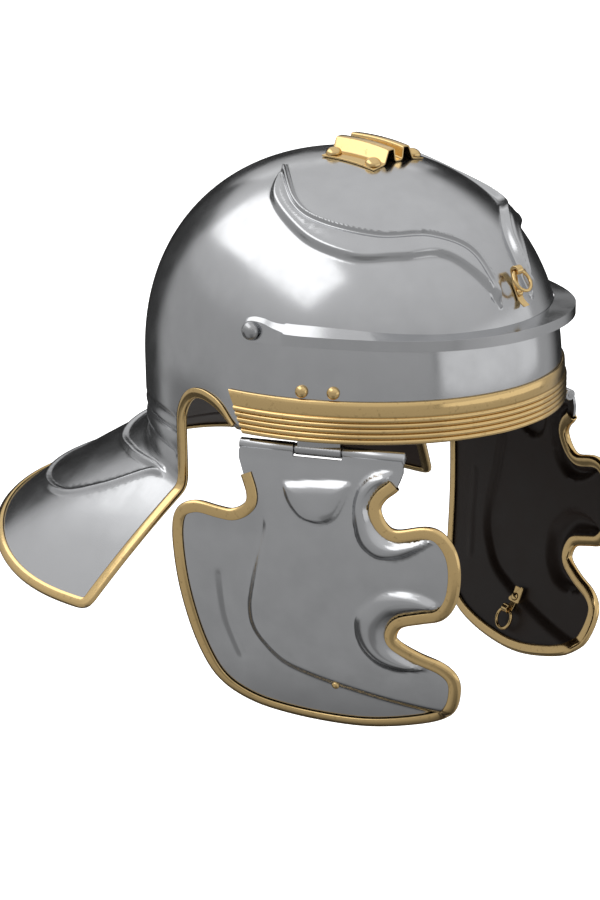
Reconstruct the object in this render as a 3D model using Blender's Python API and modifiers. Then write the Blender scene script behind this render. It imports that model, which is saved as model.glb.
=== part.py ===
"""A Roman legionary helmet of polished steel with brass fittings, built as its separate pieces.

Metres, +Z up. The wearer faces -Y and the wearer's left is +X. The origin is in the hollow of the
bowl, on the level of the rim, and the cheek pieces hang below it.
"""
import math

import bmesh
import bpy
from mathutils import Matrix, Vector
from mathutils.bvhtree import BVHTree

# Bowl: the outer face of the sheet, above the level of the rim
BOWL_LENGTH = 0.2336
BOWL_WIDTH = 0.2024
CROWN_HEIGHT = 0.128
WALL_HEIGHT = 0.0158
DOME_POWER = 2.16
SHEET = 0.0015
GAP = 0.0003

# Ear arches and nape, as angles from the front in the bowl's oval
EAR_FRONT = math.radians(86)
EAR_BACK = math.radians(106.5)
EAR_HEIGHT = 0.0138
NAPE_DEPTH = 0.038
RIB_DEPTH = 0.0028

# Neck guard
GUARD_HALF_WIDTH = 0.147
GUARD_LENGTH = 0.131
GUARD_START = 0.0588
GUARD_SQUARENESS = 2.66
GUARD_BACK_DROP = 0.0705
GUARD_CORNER_DROP = 0.0965
GUARD_CROWN = 0.0016
RIDGE_HEIGHT = 0.002
RIDGE_WIDTH = 0.010

# Embossed eyebrow wings
WING_HEIGHT = 0.0022
WING_BEAD = 0.0016
WING_EDGE = 0.008

# Brass channel over the edges
TRIM_FLANGE = 0.0045
TRIM_SHEET = 0.0007
TRIM_GAP = 0.00045
TRIM_EDGE_GAP = 0.0010
EDGE_COLUMN = math.radians(3.4)
CHEEK_TRIM_GAP = 0.0006

# Brow band
BAND_HEIGHT = 0.0216
BAND_SHEET = 0.0012
BAND_END = math.radians(83.4)
BAND_SLANT = math.radians(4.6)
BAND_PLAIN_SHARE = 0.36
BEAD_COUNT = 5
BEAD_RISE = 0.0012

# Brow guard
BROW_SHEET = 0.0014
BROW_LEVEL = 0.0530
BROW_REACH = 0.0130
BROW_LIP = 0.0054
BROW_RIVET_ANGLE = math.radians(81.6)
BROW_RIVET_RADIUS = 0.0047
BROW_SEAT = 0.0030

# Cheek pieces: the hinge line runs from the back to the front, given for the wearer's right side
HINGE_BACK = Vector((-0.1011, -0.0105, -0.0056))
HINGE_FRONT = Vector((-0.0716, -0.0930, -0.0056))
KNUCKLE_RADIUS = 0.0031
PIN_RADIUS = 0.0015
KNUCKLE_SPLITS = (0.338, 0.626)
CHEEK_DEPTH = 0.153
CHEEK_WIDTH = 0.153
CHEEK_BULGE = 0.013
CHEEK_LEAN = 0.0155
CHEEK_STEP = 0.0024
CHEEK_EDGE = 0.007

# Fastenings
HINGE_RIVET_RADIUS = 0.0033
HINGE_RIVETS = ((59.2, 0.0256), (67.4, 0.0254))
LEAF_SHEET = 0.0012
LEAF_TOP = 0.030
CREST_RIVET_RADIUS = 0.0042
SHANK_RADIUS = 0.0014
CREST_HALF_WIDTH = 0.0206
CREST_FRONT = -0.033
CREST_BACK = 0.0015
CREST_HEIGHT = 0.0066
CREST_SHEET = 0.0009
HOOK_WIDTH = 0.0045
HOOK_LEVEL = 0.066
HOOK_ASIDE = 0.0015
STRAP_SHEET = 0.0009
STRAP_RIVET_RADIUS = 0.0021
TIE_WIDTH = 0.009
TIE_ALONG_SHARE = 0.3157
TIE_DOWN_SHARE = 0.8248
RING_RADIUS = 0.0058
RING_WIRE = 0.0009

STEEL = ("polished_steel", (0.55, 0.56, 0.58), 1.0, 0.12)
BRASS = ("polished_brass", (0.80, 0.60, 0.28), 1.0, 0.16)

# Pieces that the wearer's left side has mirrored
MIRRORED = (
    "hinge_leaf",
    "hinge_pin",
    "cheek_plate",
    "cheek_trim",
    "tie_plate",
    "tie_ring",
    "tie_rivet",
)

# A half of the front, the arch, and a half of the back, in columns
FRONT_COLUMNS = 11
BACK_COLUMNS = 7

# The ear arch from its front foot to its back foot: share of the way round, share of the height
ARCH = (
    (0.00, 0.07),
    (0.12, 0.34),
    (0.27, 0.70),
    (0.42, 0.90),
    (0.57, 1.00),
    (0.70, 0.97),
    (0.82, 0.78),
    (0.93, 0.42),
    (1.00, 0.08),
)

# Level lines of the nape: drop at the side and at the back, as shares of the nape's depth,
# and how far the sheet stands in a groove (0) or on a rib (1)
NAPE_LINES = (
    (0.06, 0.02, 0.35),
    (0.12, 0.08, 0.90),
    (0.19, 0.15, 1.00),
    (0.25, 0.21, 0.75),
    (0.29, 0.26, 0.00),
    (0.34, 0.31, 0.75),
    (0.46, 0.38, 1.00),
    (0.58, 0.44, 0.75),
    (0.64, 0.49, 0.00),
    (0.78, 0.55, 0.80),
    (1.00, 0.63, 1.00),
)

# Rows of the guard, as shares of the way out from the nape to the edge
GUARD_ROWS = (0.08, 0.20, 0.33, 0.46, 0.59, 0.73, 0.87, 1.0)

# The crescent on the guard: share of the way round to the side, then the way out
# to the inner ridge and to the outer ridge
CRESCENT = (
    (0.00, 0.20, 0.78),
    (0.25, 0.19, 0.76),
    (0.45, 0.17, 0.70),
    (0.60, 0.11, 0.56),
    (0.70, 0.07, 0.34),
    (0.80, 0.03, 0.09),
    (0.86, 0.02, 0.03),
)

# An eyebrow wing seen from above: the lower edge and the upper edge, from the forehead to the tip
# behind, each as (share of the half width, share of the half length towards the front)
WING = (
    ((0.140, 0.925), (0.115, 0.915)),
    ((0.235, 0.825), (0.105, 0.865)),
    ((0.335, 0.730), (0.145, 0.765)),
    ((0.500, 0.630), (0.290, 0.645)),
    ((0.655, 0.465), (0.480, 0.505)),
    ((0.705, 0.225), (0.580, 0.300)),
    ((0.585, -0.030), (0.550, 0.115)),
    ((0.325, -0.140), (0.320, -0.120)),
)

# Brow guard from the middle to its end: share of the way to the rivet, reach, lift of the inner
# edge above the ridge in lip heights, lip as a share, and lift of the ridge in lip heights
BROW_SECTIONS = (
    (0.00, 1.00, -0.05, 1.00, 0.00),
    (0.10, 1.00, -0.05, 1.00, 0.00),
    (0.22, 0.97, 0.00, 1.00, 0.00),
    (0.34, 0.87, 0.06, 1.00, 0.00),
    (0.45, 0.68, 0.22, 1.00, 0.00),
    (0.57, 0.44, 0.45, 1.00, 0.00),
    (0.70, 0.24, 0.75, 1.00, 0.00),
    (0.82, 0.18, 0.88, 1.00, 0.00),
    (0.91, 0.16, 0.80, 1.18, 0.22),
    (0.96, 0.15, 0.62, 1.75, 0.80),
    (1.00, 0.15, 0.45, 1.95, 0.95),
    (1.025, 0.15, 0.30, 1.70, 0.82),
    (1.042, 0.15, 0.20, 1.00, 0.50),
)

# The cheek piece's edge, the wearer's right one seen from outside, as shares of its width towards
# the front and of its depth downwards, both from the back end of the hinge
CHEEK_OUTLINE = (
    (0.002, 0.040),
    (0.022, 0.095),
    (0.044, 0.155),
    (0.038, 0.195),
    (-0.010, 0.225),
    (-0.065, 0.222),
    (-0.140, 0.210),
    (-0.200, 0.232),
    (-0.226, 0.290),
    (-0.224, 0.400),
    (-0.206, 0.550),
    (-0.166, 0.735),
    (-0.110, 0.865),
    (-0.010, 0.940),
    (0.120, 0.975),
    (0.280, 0.990),
    (0.420, 0.985),
    (0.560, 0.955),
    (0.670, 0.915),
    (0.725, 0.865),
    (0.748, 0.790),
    (0.742, 0.735),
    (0.700, 0.695),
    (0.620, 0.665),
    (0.552, 0.628),
    (0.542, 0.598),
    (0.568, 0.558),
    (0.640, 0.535),
    (0.710, 0.512),
    (0.752, 0.450),
    (0.765, 0.360),
    (0.752, 0.285),
    (0.710, 0.230),
    (0.655, 0.216),
    (0.560, 0.236),
    (0.515, 0.215),
    (0.492, 0.165),
    (0.512, 0.125),
    (0.552, 0.090),
    (0.572, 0.040),
)

# The step of the raised middle of the cheek piece, from the top to the lower front corner
CHEEK_STEP_LINE = (
    (0.105, 0.180),
    (0.112, 0.270),
    (0.088, 0.370),
    (0.062, 0.480),
    (0.048, 0.560),
    (0.055, 0.630),
    (0.090, 0.690),
    (0.150, 0.750),
    (0.250, 0.790),
    (0.360, 0.820),
    (0.500, 0.850),
    (0.640, 0.870),
    (0.760, 0.875),
)


def share(shares, low, high):
    """The value that lies the given share of the way from low to high."""
    return low + (high - low) * shares


def smooth_step(value):
    """0 below 0, 1 above 1, and an even rise between them."""
    value = min(1.0, max(0.0, value))
    return value * value * (3 - 2 * value)


def bump(distance, width):
    """A rounded ridge of height 1 and of the given full width."""
    if distance >= width / 2:
        return 0.0
    return 0.5 + 0.5 * math.cos(2 * math.pi * distance / width)


def curve_through(points, steps):
    """A smooth line through all the points, with so many steps from each to the next."""
    line = []
    for index in range(len(points) - 1):
        before = points[max(index - 1, 0)]
        start = points[index]
        end = points[index + 1]
        after = points[min(index + 2, len(points) - 1)]
        for step in range(steps):
            t = step / steps
            line.append(0.5 * (2 * start + (end - before) * t
                               + (2 * before - 5 * start + 4 * end - after) * t * t
                               + (3 * start - before - 3 * end + after) * t * t * t))
    line.append(points[-1].copy())
    return line


def distance_to_line(point, line):
    """How far a point is from a line of straight pieces."""
    nearest = 1e9
    for start, end in zip(line, line[1:]):
        along = end - start
        t = (point - start).dot(along) / max(along.length_squared, 1e-12)
        t = min(1.0, max(0.0, t))
        nearest = min(nearest, (point - start - along * t).length)
    return nearest


def inside(x, y, outline):
    """Whether a flat point lies within a closed outline."""
    within = False
    for a, b in zip(outline, outline[1:] + outline[:1]):
        if (a[1] > y) != (b[1] > y) and x < a[0] + (b[0] - a[0]) * (y - a[1]) / (b[1] - a[1]):
            within = not within
    return within


def interpolate(table, position, column):
    """A column of a table, read between its rows at a position in its first column."""
    for low, high in zip(table, table[1:]):
        if position <= high[0]:
            t = (position - low[0]) / (high[0] - low[0])
            return share(max(t, 0.0), low[column], high[column])
    return table[-1][column]


# The bowl's shape

def dome_share(height):
    """The width of the dome at a height, as a share of its width at the wall."""
    rise = max(0.0, (height - WALL_HEIGHT) / (CROWN_HEIGHT - WALL_HEIGHT))
    return max(0.0, 1 - rise ** DOME_POWER) ** (1 / DOME_POWER)


def wall_point(angle, height, out=0.0):
    """A point of the bowl's outer face, moved level outwards from it."""
    width = BOWL_WIDTH / 2
    length = BOWL_LENGTH / 2
    size = dome_share(height)
    level = Vector((math.sin(angle) / width, -math.cos(angle) / length, 0)).normalized()
    return Vector((width * size * math.sin(angle), -length * size * math.cos(angle), height)) + level * out


def dome_point(angle, climb):
    """A point of the bowl's outer face, climbing from the wall (0) to the crown (a quarter turn)."""
    height = WALL_HEIGHT + (CROWN_HEIGHT - WALL_HEIGHT) * math.sin(climb) ** (2 / DOME_POWER)
    if climb > math.pi / 2 - 1e-6:
        return Vector((0, 0, CROWN_HEIGHT))
    return wall_point(angle, height)


def crown_height(x, y):
    """The height of the bowl's outer face over a place seen from above."""
    flat = math.hypot(2 * x / BOWL_WIDTH, 2 * y / BOWL_LENGTH)
    rise = max(0.0, 1 - min(flat, 1.0) ** DOME_POWER) ** (1 / DOME_POWER)
    return WALL_HEIGHT + (CROWN_HEIGHT - WALL_HEIGHT) * rise


def crown_normal(x, y):
    """The outward direction of the bowl's outer face over a place seen from above."""
    step = 0.0005
    slope_x = (crown_height(x + step, y) - crown_height(x - step, y)) / (2 * step)
    slope_y = (crown_height(x, y + step) - crown_height(x, y - step)) / (2 * step)
    return Vector((-slope_x, -slope_y, 1)).normalized()


def column_angles():
    """The bowl's columns round from the front to the middle of the back."""
    front = [EAR_FRONT * i / FRONT_COLUMNS for i in range(FRONT_COLUMNS)]
    arch = [share(row[0], EAR_FRONT, EAR_BACK) for row in ARCH]
    return front + arch + back_columns()[1:]


def back_columns():
    """The columns from the ear arch to the middle of the back, the second one clear of the trim."""
    start = EAR_BACK + EDGE_COLUMN
    return [EAR_BACK] + [share(i / BACK_COLUMNS, start, math.pi) for i in range(BACK_COLUMNS + 1)]


def rim_height(angle):
    """The lower edge of the skull: level in front, arched over the ear, level at the nape."""
    if angle <= EAR_FRONT:
        return EAR_HEIGHT * ARCH[0][1]
    if angle >= EAR_BACK:
        return EAR_HEIGHT * ARCH[-1][1]
    return EAR_HEIGHT * interpolate(ARCH, (angle - EAR_FRONT) / (EAR_BACK - EAR_FRONT), 1)


def nape_point(angle, row):
    """A point of the ribbed nape. The ribs fade out under the trim."""
    side = abs(math.pi - angle) / (math.pi - EAR_BACK)
    drop_side, drop_back, rib = NAPE_LINES[row]
    height = -NAPE_DEPTH * share(side * side, drop_back, drop_side)
    fade = smooth_step((angle - EAR_BACK - EDGE_COLUMN) / EDGE_COLUMN)
    return wall_point(angle, height, -RIB_DEPTH * (1 - rib) * fade)


def guard_edge_point(angle):
    """A point of the neck guard's outer edge, straight out from a place on the nape."""
    side = (angle - math.pi) / (math.pi - EAR_BACK)
    turn = -side * math.pi / 2
    squareness = GUARD_SQUARENESS
    reach = ((abs(math.sin(turn)) / GUARD_HALF_WIDTH) ** squareness
             + (abs(math.cos(turn)) / GUARD_LENGTH) ** squareness) ** (-1 / squareness)
    x = reach * math.sin(turn)
    drop = share(abs(x / GUARD_HALF_WIDTH) ** 4, GUARD_BACK_DROP, GUARD_CORNER_DROP)
    return Vector((x, GUARD_START + reach * math.cos(turn), -drop))


def guard_point(angle, out):
    """A point of the neck guard, a share of the way out from the nape to the edge."""
    fold = nape_point(angle, len(NAPE_LINES) - 1)
    point = fold.lerp(guard_edge_point(angle), out)
    point.z += GUARD_CROWN * 4 * out * (1 - out)
    return point


def crescent_lines():
    """The guard's embossed ridges, on its outer face."""
    lines = []
    for column in (1, 2):
        side = []
        for row in CRESCENT:
            side.append(guard_point(math.pi - row[0] * (math.pi - EAR_BACK), row[column]))
        mirrored = [Vector((-point.x, point.y, point.z)) for point in side]
        lines.append(curve_through(list(reversed(mirrored[1:])) + side, 4))
    return lines


def wing_lines(side):
    """The lower and upper edges of an eyebrow wing, on the bowl's outer face."""
    edges = []
    for column in (0, 1):
        flat = [Vector((side * row[column][0] * BOWL_WIDTH / 2, -row[column][1] * BOWL_LENGTH / 2, 0))
                for row in WING]
        line = curve_through(flat, 4)
        for point in line:
            point.z = crown_height(point.x, point.y)
        edges.append(line)
    return edges


def wing_relief(point, wings):
    """How far the sheet is raised at a point by the eyebrow wings."""
    lower, upper = wings[0] if point.x < 0 else wings[1]
    outline = [(p.x, p.y) for p in lower + list(reversed(upper))]
    to_lower = distance_to_line(point, lower)
    to_upper = distance_to_line(point, upper)
    relief = WING_BEAD * max(bump(to_lower, 2 * WING_EDGE), bump(to_upper, 2 * WING_EDGE))
    if inside(point.x, point.y, outline):
        relief += WING_HEIGHT * smooth_step(min(to_lower, to_upper) / WING_EDGE)
    return relief


# Making objects

def clear_scene():
    for old in list(bpy.data.objects):
        bpy.data.objects.remove(old)


def collection(name):
    made = bpy.data.collections.new(name)
    bpy.context.scene.collection.children.link(made)
    return made


def material(finish):
    name, colour, metallic, roughness = finish
    made = bpy.data.materials.get(name)
    if made is None:
        made = bpy.data.materials.new(name)
        made.use_nodes = True
        shader = made.node_tree.nodes["Principled BSDF"]
        shader.inputs["Base Color"].default_value = (*colour, 1)
        shader.inputs["Metallic"].default_value = metallic
        shader.inputs["Roughness"].default_value = roughness
    return made


def add_object(name, mesh, finish):
    made = bpy.data.objects.new(name, mesh)
    bpy.data.collections["legionary_helmet"].objects.link(made)
    mesh.materials.clear()
    mesh.materials.append(material(finish))
    return made


def mesh_from(bm, name):
    mesh = bpy.data.meshes.new(name)
    bm.to_mesh(mesh)
    bm.free()
    mesh.shade_smooth()
    mesh.set_sharp_from_angle(angle=math.radians(35))
    return mesh


def grid_mesh(columns, rows, place):
    """A grid whose corners are placed one by one: place(column, row) gives each its point."""
    bm = bmesh.new()
    bmesh.ops.create_grid(bm, x_segments=columns, y_segments=rows, size=1)
    for vert in bm.verts:
        column = round((vert.co.x + 1) / 2 * columns)
        row = round((vert.co.y + 1) / 2 * rows)
        point = place(column, row)
        vert.co = point if point is not None else Vector((99, 99, 99))
    gone = [vert for vert in bm.verts if vert.co.x > 90]
    bmesh.ops.delete(bm, geom=gone, context="VERTS")
    return bm


def skin(sections, name):
    """A closed body through closed sections that have the same number of points each."""
    bm = bmesh.new()
    rings = [[bm.verts.new(point) for point in section] for section in sections]
    count = len(rings[0])
    for ring, following in zip(rings, rings[1:]):
        for i in range(count):
            j = (i + 1) % count
            bm.faces.new((ring[i], ring[j], following[j], following[i]))
    bm.faces.new(list(reversed(rings[0])))
    bm.faces.new(rings[-1])
    bm.normal_update()
    bmesh.ops.triangulate(bm, faces=[face for face in bm.faces if len(face.verts) > 4])
    bmesh.ops.recalc_face_normals(bm, faces=bm.faces)
    return mesh_from(bm, name)


def thicken(made, thickness):
    wall = made.modifiers.new("sheet", "SOLIDIFY")
    wall.thickness = thickness
    wall.offset = -1
    return wall


def apply_modifiers(made):
    """The object's mesh as its modifiers show it."""
    bpy.context.view_layer.update()
    graph = bpy.context.evaluated_depsgraph_get()
    mesh = bpy.data.meshes.new_from_object(made.evaluated_get(graph))
    made.modifiers.clear()
    bm = bmesh.new()
    bm.from_mesh(mesh)
    bmesh.ops.remove_doubles(bm, verts=bm.verts, dist=3e-6)
    bmesh.ops.dissolve_degenerate(bm, edges=bm.edges, dist=1e-6)
    bm.to_mesh(mesh)
    bm.free()
    made.data = mesh


def cut(made, cutter, operation="DIFFERENCE"):
    step = made.modifiers.new("cut", "BOOLEAN")
    step.object = cutter
    step.operation = operation
    step.solver = "EXACT"


def add_cutter(mesh, name):
    made = bpy.data.objects.new(name, mesh)
    bpy.data.collections["cutters"].objects.link(made)
    made.hide_render = True
    made.display_type = "WIRE"
    return made


def mirror_mesh(mesh, name):
    """The same mesh for the wearer's other side."""
    bm = bmesh.new()
    bm.from_mesh(mesh)
    bmesh.ops.scale(bm, vec=(-1, 1, 1), verts=bm.verts)
    bmesh.ops.reverse_faces(bm, faces=bm.faces)
    return mesh_from(bm, name)


def frame_along(origin, direction, up=Vector((0, 0, 1))):
    """A placing matrix whose Z runs along the direction."""
    z = direction.normalized()
    x = up.cross(z)
    if x.length < 1e-6:
        x = Vector((1, 0, 0))
    x.normalize()
    y = z.cross(x)
    matrix = Matrix((x, y, z)).transposed().to_4x4()
    matrix.translation = origin
    return matrix


def turned(profile, sides, name, matrix):
    """A closed turned body from (radius, height) points, listed from the bottom to the top."""
    bm = bmesh.new()
    verts = [bm.verts.new((radius, 0, height)) for radius, height in profile]
    edges = [bm.edges.new(pair) for pair in zip(verts, verts[1:])]
    bmesh.ops.spin(bm, geom=verts + edges, cent=(0, 0, 0), axis=(0, 0, 1), angle=2 * math.pi,
                   steps=sides, use_merge=True)
    bmesh.ops.remove_doubles(bm, verts=bm.verts, dist=1e-6)
    bmesh.ops.recalc_face_normals(bm, faces=bm.faces)
    bmesh.ops.transform(bm, matrix=matrix, verts=bm.verts)
    return mesh_from(bm, name)


def rivet_mesh(name, radius, stack, matrix):
    """A dome head on the outside, a shank through the stack, and a small hammered head inside.

    The matrix has its origin on the outermost face and its Z outwards.
    """
    tail = SHANK_RADIUS * 1.7
    profile = (
        (0, -stack - GAP - 0.0010),
        (tail, -stack - GAP),
        (SHANK_RADIUS, -stack - GAP),
        (SHANK_RADIUS, GAP),
        (radius, GAP),
        (radius * 0.82, GAP + radius * 0.48),
        (0, GAP + radius * 0.76),
    )
    return turned(profile, 8, name, matrix)


def drill(matrices, depth, name):
    """Cutters for rivet holes, along the same matrices as the rivets."""
    bm = bmesh.new()
    for matrix in matrices:
        made = bmesh.ops.create_cone(bm, cap_ends=True, segments=8, radius1=SHANK_RADIUS + GAP * 1.4,
                                     radius2=SHANK_RADIUS + GAP * 1.4, depth=depth)
        bmesh.ops.transform(bm, matrix=matrix, verts=made["verts"])
    return add_cutter(mesh_from(bm, name), name)


# Bowl

CLIMBS = (90, 81, 73, 65.5, 58, 50.5, 43, 35.5, 28.5, 22, 16.5)
WALL_ROWS = (0.33, 0.66, 1.0)


def bowl_mesh():
    """The bowl's outer face as an open grid, with its relief."""
    half = column_angles()
    angles = half + [2 * math.pi - angle for angle in reversed(half[:-1])]
    dome_rows = len(CLIMBS)
    wall_rows = len(WALL_ROWS)
    nape_rows = len(NAPE_LINES)
    rows = dome_rows + wall_rows + nape_rows + len(GUARD_ROWS) - 1

    def place(column, row):
        angle = angles[column]
        folded = min(angle, 2 * math.pi - angle)
        if row < dome_rows:
            return dome_point(angle, math.radians(CLIMBS[row]))
        row -= dome_rows
        if row < wall_rows:
            top = dome_point(angle, math.radians(CLIMBS[-1])).z
            return wall_point(angle, share(WALL_ROWS[row], top, rim_height(folded)))
        row -= wall_rows
        if folded < EAR_BACK - 1e-6:
            return None
        mirrored = folded < angle
        if row < nape_rows:
            point = nape_point(folded, row)
        else:
            point = guard_point(folded, GUARD_ROWS[row - nape_rows])
        return Vector((-point.x, point.y, point.z)) if mirrored else point

    bm = grid_mesh(len(angles) - 1, rows, place)
    bmesh.ops.remove_doubles(bm, verts=bm.verts, dist=1e-6)
    bmesh.ops.recalc_face_normals(bm, faces=bm.faces)
    bm.normal_update()
    highest = max(bm.faces, key=lambda face: face.calc_center_median().z)
    if highest.normal.z < 0:
        bmesh.ops.reverse_faces(bm, faces=bm.faces)
        bm.normal_update()
    emboss_bowl(bm)
    return mesh_from(bm, "bowl")


def emboss_bowl(bm):
    """Raise the eyebrow wings and the crescent of the neck guard."""
    wings = (wing_lines(-1), wing_lines(1))
    ridges = crescent_lines()
    normals = {vert: vert.normal.copy() for vert in bm.verts}
    for vert in bm.verts:
        if vert.co.z > BROW_LEVEL + BROW_LIP:
            vert.co += normals[vert] * wing_relief(vert.co, wings)
        elif vert.co.z < -NAPE_DEPTH * 0.6 and not vert.is_boundary:
            nearest = min(distance_to_line(vert.co, ridge) for ridge in ridges)
            vert.co += normals[vert] * RIDGE_HEIGHT * bump(nearest, 2 * RIDGE_WIDTH)


def build_bowl(drills):
    made = add_object("bowl", bowl_mesh(), STEEL)
    thicken(made, SHEET)
    for cutter in drills:
        cut(made, cutter)
    return made


# Channel trims

def channel_sections(edge, inward, normals, flanges, near=TRIM_GAP):
    """Sections of a brass channel over a sheet's edge.

    edge is the line of the sheet's outer face, inward points from it into the sheet.
    """
    sections = []
    far = near + TRIM_SHEET
    beyond = TRIM_EDGE_GAP + TRIM_SHEET
    for point, into, normal, flange in zip(edge, inward, normals, flanges):
        def at(along, out):
            return point + into * along + normal * out
        sections.append((
            at(flange, far),
            at(-beyond, far),
            at(-beyond, -SHEET - far),
            at(flange, -SHEET - far),
            at(flange, -SHEET - near),
            at(-TRIM_EDGE_GAP, -SHEET - near),
            at(-TRIM_EDGE_GAP, near),
            at(flange, near),
        ))
    return sections


def edge_frames(edge, outward):
    """Directions into the sheet and out of its face along an edge line."""
    inward = []
    normals = []
    for index, point in enumerate(edge):
        before = edge[max(index - 1, 0)]
        after = edge[min(index + 1, len(edge) - 1)]
        along = (after - before).normalized()
        normal = outward[index] - along * outward[index].dot(along)
        normal.normalize()
        inward.append(normal.cross(along))
        normals.append(normal)
    return inward, normals


def build_ear_neck_trim():
    """One channel from the band's right end over the ear, round the guard and back to the left end."""
    side = []
    for row in ARCH[1:]:
        angle = share(row[0], EAR_FRONT, EAR_BACK)
        level = wall_point(angle, 0, 1) - wall_point(angle, 0)
        side.append((wall_point(angle, EAR_HEIGHT * row[1]), level, angle))
    level = wall_point(EAR_BACK, 0, 1) - wall_point(EAR_BACK, 0)
    for row in range(1, len(NAPE_LINES) - 1, 2):
        side.append((nape_point(EAR_BACK, row), level, EAR_BACK))
    columns = back_columns()
    fold = guard_point(EAR_BACK, 0)
    side.append((fold, guard_normal(columns[0], 0.0) + level, EAR_BACK))
    for out in GUARD_ROWS[:-1]:
        side.append((guard_point(EAR_BACK, out), guard_normal(columns[0], out), EAR_BACK))
    for angle in columns:
        side.append((guard_point(angle, 1), guard_normal(angle, 1), EAR_BACK))
    mirrored = []
    for point, normal, angle in reversed(side[:-1]):
        mirrored.append((Vector((-point.x, point.y, point.z)), Vector((-normal.x, normal.y, normal.z)), angle))
    path = side + mirrored
    edge = [item[0] for item in path]
    inward, normals = edge_frames(edge, [item[1] for item in path])
    flanges = []
    for item in path:
        flanges.append(TRIM_FLANGE * share(smooth_step((item[2] - EAR_FRONT) / math.radians(8)), 0.25, 1))
    return add_object("ear_neck_trim", skin(channel_sections(edge, inward, normals, flanges), "ear_neck_trim"),
                      BRASS)


def guard_normal(angle, out):
    """The upward direction of the neck guard's outer face."""
    step = 0.02
    inner = max(out - step, 0.0)
    outer = min(out + step, 1.0)
    turn = math.radians(2)
    beside = angle - turn if angle + turn > math.pi else angle + turn
    along = guard_point(angle, outer) - guard_point(angle, inner)
    across = guard_point(beside, out) - guard_point(angle, out)
    normal = along.cross(across).normalized()
    return normal if normal.z > 0 else -normal


# Brow band

def build_brow_band():
    """The brass band with its plain strip and beads, lipped under the edge of the bowl."""
    face = GAP + BAND_SHEET
    plain = BAND_HEIGHT * (1 - BAND_PLAIN_SHARE)
    profile = [(GAP, BAND_HEIGHT), (face, BAND_HEIGHT), (face, plain)]
    pitch = plain / BEAD_COUNT
    for bead in range(BEAD_COUNT):
        top = plain - bead * pitch
        profile.append((face + BEAD_RISE, top - pitch * 0.5))
        if bead < BEAD_COUNT - 1:
            profile.append((face, top - pitch))
    profile.append((face, 0))
    profile.append((-SHEET, 0))
    lip = EAR_HEIGHT * ARCH[0][1] - GAP
    profile.append((-SHEET, lip))
    profile.append((GAP, lip))
    stations = [EAR_FRONT * i / FRONT_COLUMNS for i in range(FRONT_COLUMNS)] + [BAND_END]
    stations = [-angle for angle in reversed(stations[1:])] + stations
    sections = []
    for angle in stations:
        slant = BAND_SLANT * math.copysign(1, angle) if abs(angle) > BAND_END - 1e-6 else 0
        sections.append([wall_point(angle + slant * height / BAND_HEIGHT, height, out)
                         for out, height in profile])
    return add_object("brow_band", skin(sections, "brow_band"), BRASS)


# Brow guard

def brow_sections():
    """Sections on the bowl's own columns, then closer ones round the tab's end."""
    columns = [EAR_FRONT * i / FRONT_COLUMNS / BROW_RIVET_ANGLE for i in range(FRONT_COLUMNS)]
    places = [column for column in columns if column < 0.9]
    places += [row[0] for row in BROW_SECTIONS if row[0] > 0.9]
    places = [-place for place in reversed(places[1:])] + places
    sections = []
    for place in places:
        reach, inner_lift, lip, lift = (interpolate(BROW_SECTIONS, abs(place), i) for i in (1, 2, 3, 4))
        angle = place * BROW_RIVET_ANGLE
        ridge = BROW_LEVEL + lift * BROW_LIP * 0.9
        low = ridge - lip * BROW_LIP
        inner = ridge + inner_lift * BROW_LIP
        out = GAP + BROW_REACH * reach
        level = wall_point(angle, ridge, 1) - wall_point(angle, ridge)
        crest = wall_point(angle, ridge, out)
        foot = wall_point(angle, low, GAP + BROW_SHEET)
        hang = crest - Vector((0, 0, ridge - low))
        if (hang - foot).dot(level) < 0:
            hang = foot
        under = hang - level * BROW_SHEET
        tuck = crest - Vector((0, 0, BROW_SHEET)) - level * BROW_SHEET
        root = wall_point(angle, ridge - BROW_SHEET, GAP)
        if (tuck - root).dot(level) < 0.0001:
            tuck = root + level * 0.0001
        top = wall_point(angle, inner, GAP)
        heel = wall_point(angle, inner - BROW_SHEET, GAP)
        if inner_lift <= 0.1:
            root = heel
            heel = share(0.5, heel, top)
        sections.append((top, crest, hang, under, tuck, root, heel))
    return sections


def build_brow_guard(drills):
    made = add_object("brow_guard", skin(brow_sections(), "brow_guard"), STEEL)
    for cutter in drills:
        cut(made, cutter)
    return made


# Cheek pieces, in a frame on the hinge line: along it to the front, down, and out from the face

def hinge_frame():
    along = (HINGE_FRONT - HINGE_BACK).normalized()
    down = Vector((0, 0, -1))
    out = down.cross(along)
    if out.x > 0:
        out = -out
    return along, down, out


def cheek_place(u, v, w):
    along, down, out = hinge_frame()
    return HINGE_BACK + along * u + down * v + out * w


def cheek_drop(u, v, step_line):
    """How far the flange of the cheek piece lies below its raised middle, fading out at the top."""
    point = Vector((u, v, 0))
    distance = distance_to_line(point, step_line)
    outline = [(p.x, p.y) for p in step_line] + [(CHEEK_WIDTH, 0.87 * CHEEK_DEPTH), (CHEEK_WIDTH, 0),
                                                 (step_line[0].x, 0)]
    if inside(u, v, outline):
        return 0.0
    return CHEEK_STEP * smooth_step(distance / CHEEK_EDGE) * smooth_step((v / CHEEK_DEPTH - 0.20) / 0.15)


def cheek_face(u, v, step_line):
    """How far the cheek piece's outer face stands out from the hinge line."""
    t = v / CHEEK_DEPTH
    curve = CHEEK_BULGE * 4 * t * (1 - t) - CHEEK_LEAN * t
    return KNUCKLE_RADIUS * 0.78 + curve - cheek_drop(u, v, step_line)


def flat_line(table, steps):
    points = [Vector((u * CHEEK_WIDTH, v * CHEEK_DEPTH, 0)) for u, v in table]
    return curve_through(points, steps)


CHEEK_CELLS = 11


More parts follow.
